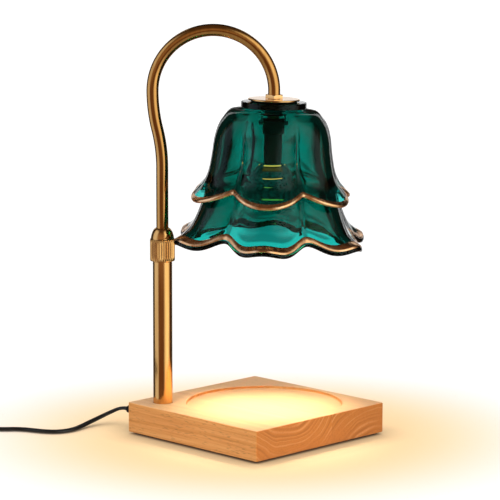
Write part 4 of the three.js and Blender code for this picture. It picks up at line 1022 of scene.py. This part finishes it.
def make_shade():
    """The whole glass as one closed skin: its collar, the upper tier and the half circle round
    its rim, a straight web to the lower tier, that tier and its rim, and back up the inside."""
    heading, a = around_petals(PETALS * 48)
    flat = lambda corners: np.repeat(rounded(corners)[:, None], a.shape[1], 1)
    collar = flat([(6.5, 0), (26.8, 0, 0.7), (26.8, 4.7, 0.5), (28.2, 5.3)])
    upper = upper_place(UPPER_SHARES, a)
    upper_in = inward(upper_place, UPPER_SHARES)
    lower = lower_place(LOWER_SHARES, a)
    lower_in = inward(lower_place, LOWER_SHARES)
    lip, way = UPPER_LIP / 2, upper_in[-1:]
    ahead = np.stack([way[..., 1], -way[..., 0]], -1)
    phi = np.linspace(0, math.pi, 9)[1:, None, None]
    nose = upper[-1:] + lip * (1 - np.cos(phi)) * way + lip * np.sin(phi) * ahead
    below = lower[-1:] + GLASS_WALL * lower_in[-1:]
    lower_inside = rounder(lower + GLASS_WALL * lower_in, LOWER_SHARES)
    upper_inside = rounder(upper + GLASS_WALL * upper_in, 0.5 * UPPER_SHARES)
    rim = np.concatenate([
        lower[-1:], lower[-1:] + (RIM_NOSE, GLASS_WALL / 2), lower[-1:] + (RIM_NOSE / 2, GLASS_WALL),
        below + (RIM_NOSE, RIM_NOSE / 2), below,
    ])
    inner = np.concatenate([lower_inside[::-1], upper_inside[7:0:-1]])
    t = np.linspace(0, 1, 5)[1:-1, None, None]
    web = nose[-1:] + (lower[:1] - nose[-1:]) * t
    top = flat([(22.3, 5.6), (21.0, 5.0, 0.5), (6.5, 5)])
    rows = np.concatenate([
        collar[:-1], smooth(upper, 6), nose, web, smooth(lower, 7), smooth(rim, 4)[1:-1],
        smooth(inner, 5), top,
    ])
    dress(skin("petal_shade", around_axis(rows, heading), closed=True, crease=70), "glass_shade")
    gild("upper_gilding", upper_place, UPPER_SHARES, (0.97, 1.0), 0.2, heading, a, nose[:6])
    gild("lower_gilding", lower_place, LOWER_SHARES, (0.925, 1.0), 0.5, heading, a, smooth(rim, 6)[1:4])


def gild(name, place, shares, reach, crown, heading, a, edge_rows):
    """A band of gold on the outside of a rim, from a share of the way down and on round the
    edge. It stands 0.12 mm proud at its borders and more in the middle, as painted gold does."""
    fine = curve_through(shares, 8)
    at = np.linspace(*reach, 9)
    fine = np.column_stack([np.interp(at, fine[:, 0], fine[:, k]) for k in range(fine.shape[1])])
    line = np.concatenate([place(fine, a), edge_rows])
    ahead = np.gradient(line, axis=0)
    ahead /= np.linalg.norm(ahead, axis=-1, keepdims=True)
    out = np.stack([ahead[..., 1], -ahead[..., 0]], -1)
    t = np.linspace(0, 1, len(line))[:, None, None]
    proud = 0.12 + crown * np.sin(math.pi * t) ** 0.7
    rows = np.concatenate([line + proud * out, (line - 0.25 * out)[::-1]])
    piece = skin(name, around_axis(rows, heading), closed=True, crease=60)
    piece.data.materials.append(FINISH["gilding"])
    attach(piece, BODY_OF["glass_shade"])


# Stage and light

# Colour of the floor in the lamp's warm light and the span in metres over which it fades, and how
# bright its own light and its share of the real light are, near the lamp and far from it
WARM_POOL = 0xFFDCAA
POOL_FAR, POOL_NEAR = 0.29, 0.11
OWN_NEAR, OWN_FAR = 0.72, 1.0
REAL_SHARE = 0.34
AMBIENT = 0.42


def make_floor():
    """Plain pale floor. To the camera it is white, with a share of the real light that keeps the
    shadows, a painted soft shade where things touch it, and a painted pool of the lamp's warm
    light round the lamp. Polished and clear surfaces look past it into the studio."""
    mesh = bpy.data.meshes.new("floor")
    far, just_under = 30, 0.0004
    corners = [(-far, -far, 0), (far, -far, 0), (far, far, 0), (-far, far, 0)]
    mesh.from_pydata(corners, [], [(0, 1, 2, 3)])
    floor = bpy.data.objects.new("floor", mesh)
    floor.location.z = -just_under
    bpy.context.scene.collection.objects.link(floor)
    material, tree = new_tree("pale_floor")
    where = put(tree, "ShaderNodeTexCoord").outputs["Object"]
    away = put(tree, "ShaderNodeVectorMath", [where], operation="LENGTH")
    # painted pool of the lamp's warm light, fading with distance from the lamp
    near = put(tree, "ShaderNodeMapRange", [away, POOL_FAR, POOL_NEAR], interpolation_type="SMOOTHSTEP")
    tint = put(tree, "ShaderNodeMix", {"Factor": near, 6: WHITE, 7: colour(WARM_POOL)}, **RGBA)
    dim = put(tree, "ShaderNodeVectorMath", {0: tint, 3: REAL_SHARE}, operation="SCALE")
    lit = put(tree, "ShaderNodeBsdfDiffuse", {"Color": dim})
    # painted contact shade, darker where things touch the floor
    touch = put(tree, "ShaderNodeAmbientOcclusion", {"Distance": 0.03}, samples=8).outputs["AO"]
    touch = put(tree, "ShaderNodeMath", [touch, 1.4], operation="POWER")
    shade = put(tree, "ShaderNodeMix", {"Factor": touch, 6: colour(0x241A1E), 7: tint}, **RGBA)
    level = put(tree, "ShaderNodeMapRange", [away, 0.35, 2.5, OWN_NEAR, OWN_FAR])
    own = put(tree, "ShaderNodeEmission", {"Color": shade, "Strength": level})
    shown = put(tree, "ShaderNodeAddShader", [lit, own])
    real = put(tree, "ShaderNodeBsdfDiffuse", {"Color": (0.75, 0.75, 0.75, 1)})
    clear = put(tree, "ShaderNodeBsdfTransparent")
    path = put(tree, "ShaderNodeLightPath").outputs
    first = put(tree, "ShaderNodeMixShader", [path["Is Camera Ray"], real, shown])
    past = [path["Is Glossy Ray"], path["Is Transmission Ray"]]
    past = put(tree, "ShaderNodeMath", past, operation="MAXIMUM")
    both = put(tree, "ShaderNodeMixShader", [past, first, clear])
    put(tree, "ShaderNodeOutputMaterial", {"Surface": both})
    mesh.materials.append(material)


# What polished surfaces see, painted in this order: a colour, then the spans it covers, each as
# the value it is measured on, its middle, its half width and how soft its ends are. Values are
# the parts of the direction and the heading from the camera's side in degrees.
SEEN_BY_GLOSS = [
    ((0.2, 0.095, 0.045), []),
    ((0.42, 0.27, 0.16), [("Z", 0.36, 0.38, 0.08)]),
    ((0.1, 0.06, 0.035), [("Z", 1.0, 0.5, 0.35)]),
    ((0.02, 0.017, 0.014), [("Y", 0.75, 0.5, 0.12), ("Z", 0.5, 0.5, 0.06)]),
    ((0.025, 0.02, 0.016), [("Y", 1.0, 0.78, 0.08), ("Z", 0.0, 0.35, 0.1)]),
    ((1.6, 1.58, 1.4), [("heading", 55, 29, 15), ("Z", 0.05, 0.7, 0.15)]),
    ((0.9, 0.95, 1.05), [("heading", -78, 27, 9), ("Z", 0.05, 0.7, 0.15)]),
    ((0.44, 0.4, 0.34), [("Z", -1.0, 0.58, 0.1), ("Y", -0.6, 1.05, 0.1)]),
    ((1.1, 1.1, 1.1), [("heading", 154, 4, 2), ("Z", 0.1, 0.6, 0.1)]),
    ((1.1, 1.1, 1.1), [("heading", -154, 4, 2), ("Z", 0.1, 0.6, 0.1)]),
    ((1.0, 1.0, 1.0), [("Y", 1.0, 0.035, 0.015), ("Z", 0.0, 0.2, 0.08)]),
]
# What clear glass sees through itself: a dark room with eight bright panels side by side round
# it, level with the lamp and below, a dimmer band across them, and the pale floor
SEEN_THROUGH = [
    ((0.03, 0.03, 0.03), []),
    ((1.5, 1.5, 1.5), [("stripes", 1.0, 1.45, 0.35), ("Z", -0.2, 0.33, 0.1)]),
    ((0.66, 0.66, 0.66), [("stripes", 1.0, 1.45, 0.35), ("Z", -0.168, 0.03, 0.014)]),
    ((0.44, 0.42, 0.38), [("Z", -1.0, 0.5, 0.1)]),
]


def make_world():
    """White behind the lamp. Polished metal sees a studio: a wide soft panel on each side of the
    camera, the pale floor, a white backdrop, and a dark warm room. Glass sees white panels."""
    world = bpy.data.worlds.new("studio")
    bpy.context.scene.world = world
    world.use_nodes = True
    tree = world.node_tree
    tree.nodes.clear()
    way = put(tree, "ShaderNodeTexCoord").outputs["Generated"]
    axes = put(tree, "ShaderNodeSeparateXYZ", [way]).outputs
    front = put(tree, "ShaderNodeMath", [axes["Y"], -1.0], operation="MULTIPLY")
    heading = put(tree, "ShaderNodeMath", [axes["X"], front], operation="ARCTAN2")
    eight = put(tree, "ShaderNodeMath", [heading, 8.0], operation="MULTIPLY")
    values = {
        "Y": axes["Y"], "Z": axes["Z"],
        "heading": put(tree, "ShaderNodeMath", [heading], operation="DEGREES"),
        "stripes": put(tree, "ShaderNodeMath", [eight], operation="COSINE"),
    }

    def painted(layers):
        """Colours laid over each other in turn, each where all its spans cover."""
        seen = (*layers[0][0], 1)
        for rgb, spans in layers[1:]:
            cover = 1.0
            for value, middle, half, soft in spans:
                off = put(tree, "ShaderNodeMath", [values[value], middle], operation="SUBTRACT")
                off = put(tree, "ShaderNodeMath", [off], operation="ABSOLUTE")
                span = put(tree, "ShaderNodeMapRange", [off, half + soft, half - soft],
                           interpolation_type="SMOOTHSTEP")
                cover = put(tree, "ShaderNodeMath", [cover, span], operation="MULTIPLY")
            seen = put(tree, "ShaderNodeMix", {"Factor": cover, 6: seen, 7: (*rgb, 1)}, **RGBA)
        return seen

    path = put(tree, "ShaderNodeLightPath").outputs
    through = path["Is Transmission Ray"]
    plain = put(tree, "ShaderNodeMix", {
        "Factor": path["Is Camera Ray"], 6: (AMBIENT, AMBIENT, AMBIENT, 1), 7: WHITE,
    }, **RGBA)
    clear = put(tree, "ShaderNodeMix", {
        "Factor": through, 6: plain, 7: painted(SEEN_THROUGH),
    }, **RGBA)
    # glass seen in a mirror, or by its own inner glare, shows little of the panels
    again = put(tree, "ShaderNodeMath", [path["Glossy Depth"], 0.5], operation="GREATER_THAN")
    again = put(tree, "ShaderNodeMath", [again, through], operation="MULTIPLY")
    clear = put(tree, "ShaderNodeMix", {
        "Factor": again, 6: clear, 7: (0.25, 0.25, 0.25, 1),
    }, **RGBA)
    # a ray through glass counts as a glossy one too
    mirrored = put(tree, "ShaderNodeMath", [path["Is Glossy Ray"], through], operation="SUBTRACT")
    mirrored = put(tree, "ShaderNodeMath", [mirrored, 0.5], operation="GREATER_THAN")
    every = put(tree, "ShaderNodeMix", {
        "Factor": mirrored, 6: clear, 7: painted(SEEN_BY_GLOSS),
    }, **RGBA)
    back = put(tree, "ShaderNodeBackground", {"Color": every, "Strength": 1.0})
    put(tree, "ShaderNodeOutputWorld", {"Surface": back})


def add_light(name, kind, place, target, energy, tint=0xFFFFFF, **settings):
    """A lamp aimed at a target, in metres and watts, seen only by what it lights."""
    data = bpy.data.lights.new(name, kind)
    data.energy = energy
    data.color = colour(tint)[:3]
    for key, value in settings.items():
        setattr(data, key, value)
    lamp = bpy.data.objects.new(name, data)
    lamp.location = place
    lamp.rotation_euler = (Vector(target) - Vector(place)).to_track_quat("-Z", "Y").to_euler()
    lamp.visible_camera = False
    lamp.visible_glossy = False
    lamp.visible_transmission = False
    bpy.context.scene.collection.objects.link(lamp)
    return lamp


def make_lights():
    for side, place, power, wide, high in (
        ("left", (-1.1, -1.2, 0.9), 14, 0.9, 1.2),
        ("right", (1.1, -1.2, 0.9), 12, 0.9, 1.2),
        ("top", (0, 0.2, 1.6), 12, 1.4, 1.4),
    ):
        add_light(f"panel_{side}", "AREA", place, (0, 0, 0.12), power,
                  shape="RECTANGLE", size=wide, size_y=high)
    mouth = hung(np.array([0.0, 0.0, -84.0])) * MM
    foot = hung(np.array([0.0, -24.0, -250.0])) * MM
    beam = add_light("bulb_beam", "SPOT", mouth, foot, 4.1, 0xFFF6E2,
                     spot_size=math.radians(64), spot_blend=1.0, shadow_soft_size=0.018)
    # the beam goes where the bulb goes
    beam.parent = bpy.data.objects["bulb_front"]


def dress_nodes():
    """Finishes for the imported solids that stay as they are."""
    for name, node in frame["nodes"].items():
        if not node.hide_render:
            node.data.materials.clear()
            node.data.materials.append(FINISH[SLOTS[name]])


make_camera()
make_cords()
make_base()
make_stem()
make_slack()
make_clamp_nut()
make_neck()
make_canopy()
make_bulb()
make_shade()
dress_nodes()
make_floor()
make_world()
make_lights()
bpy.context.scene.view_settings.view_transform = "Standard"
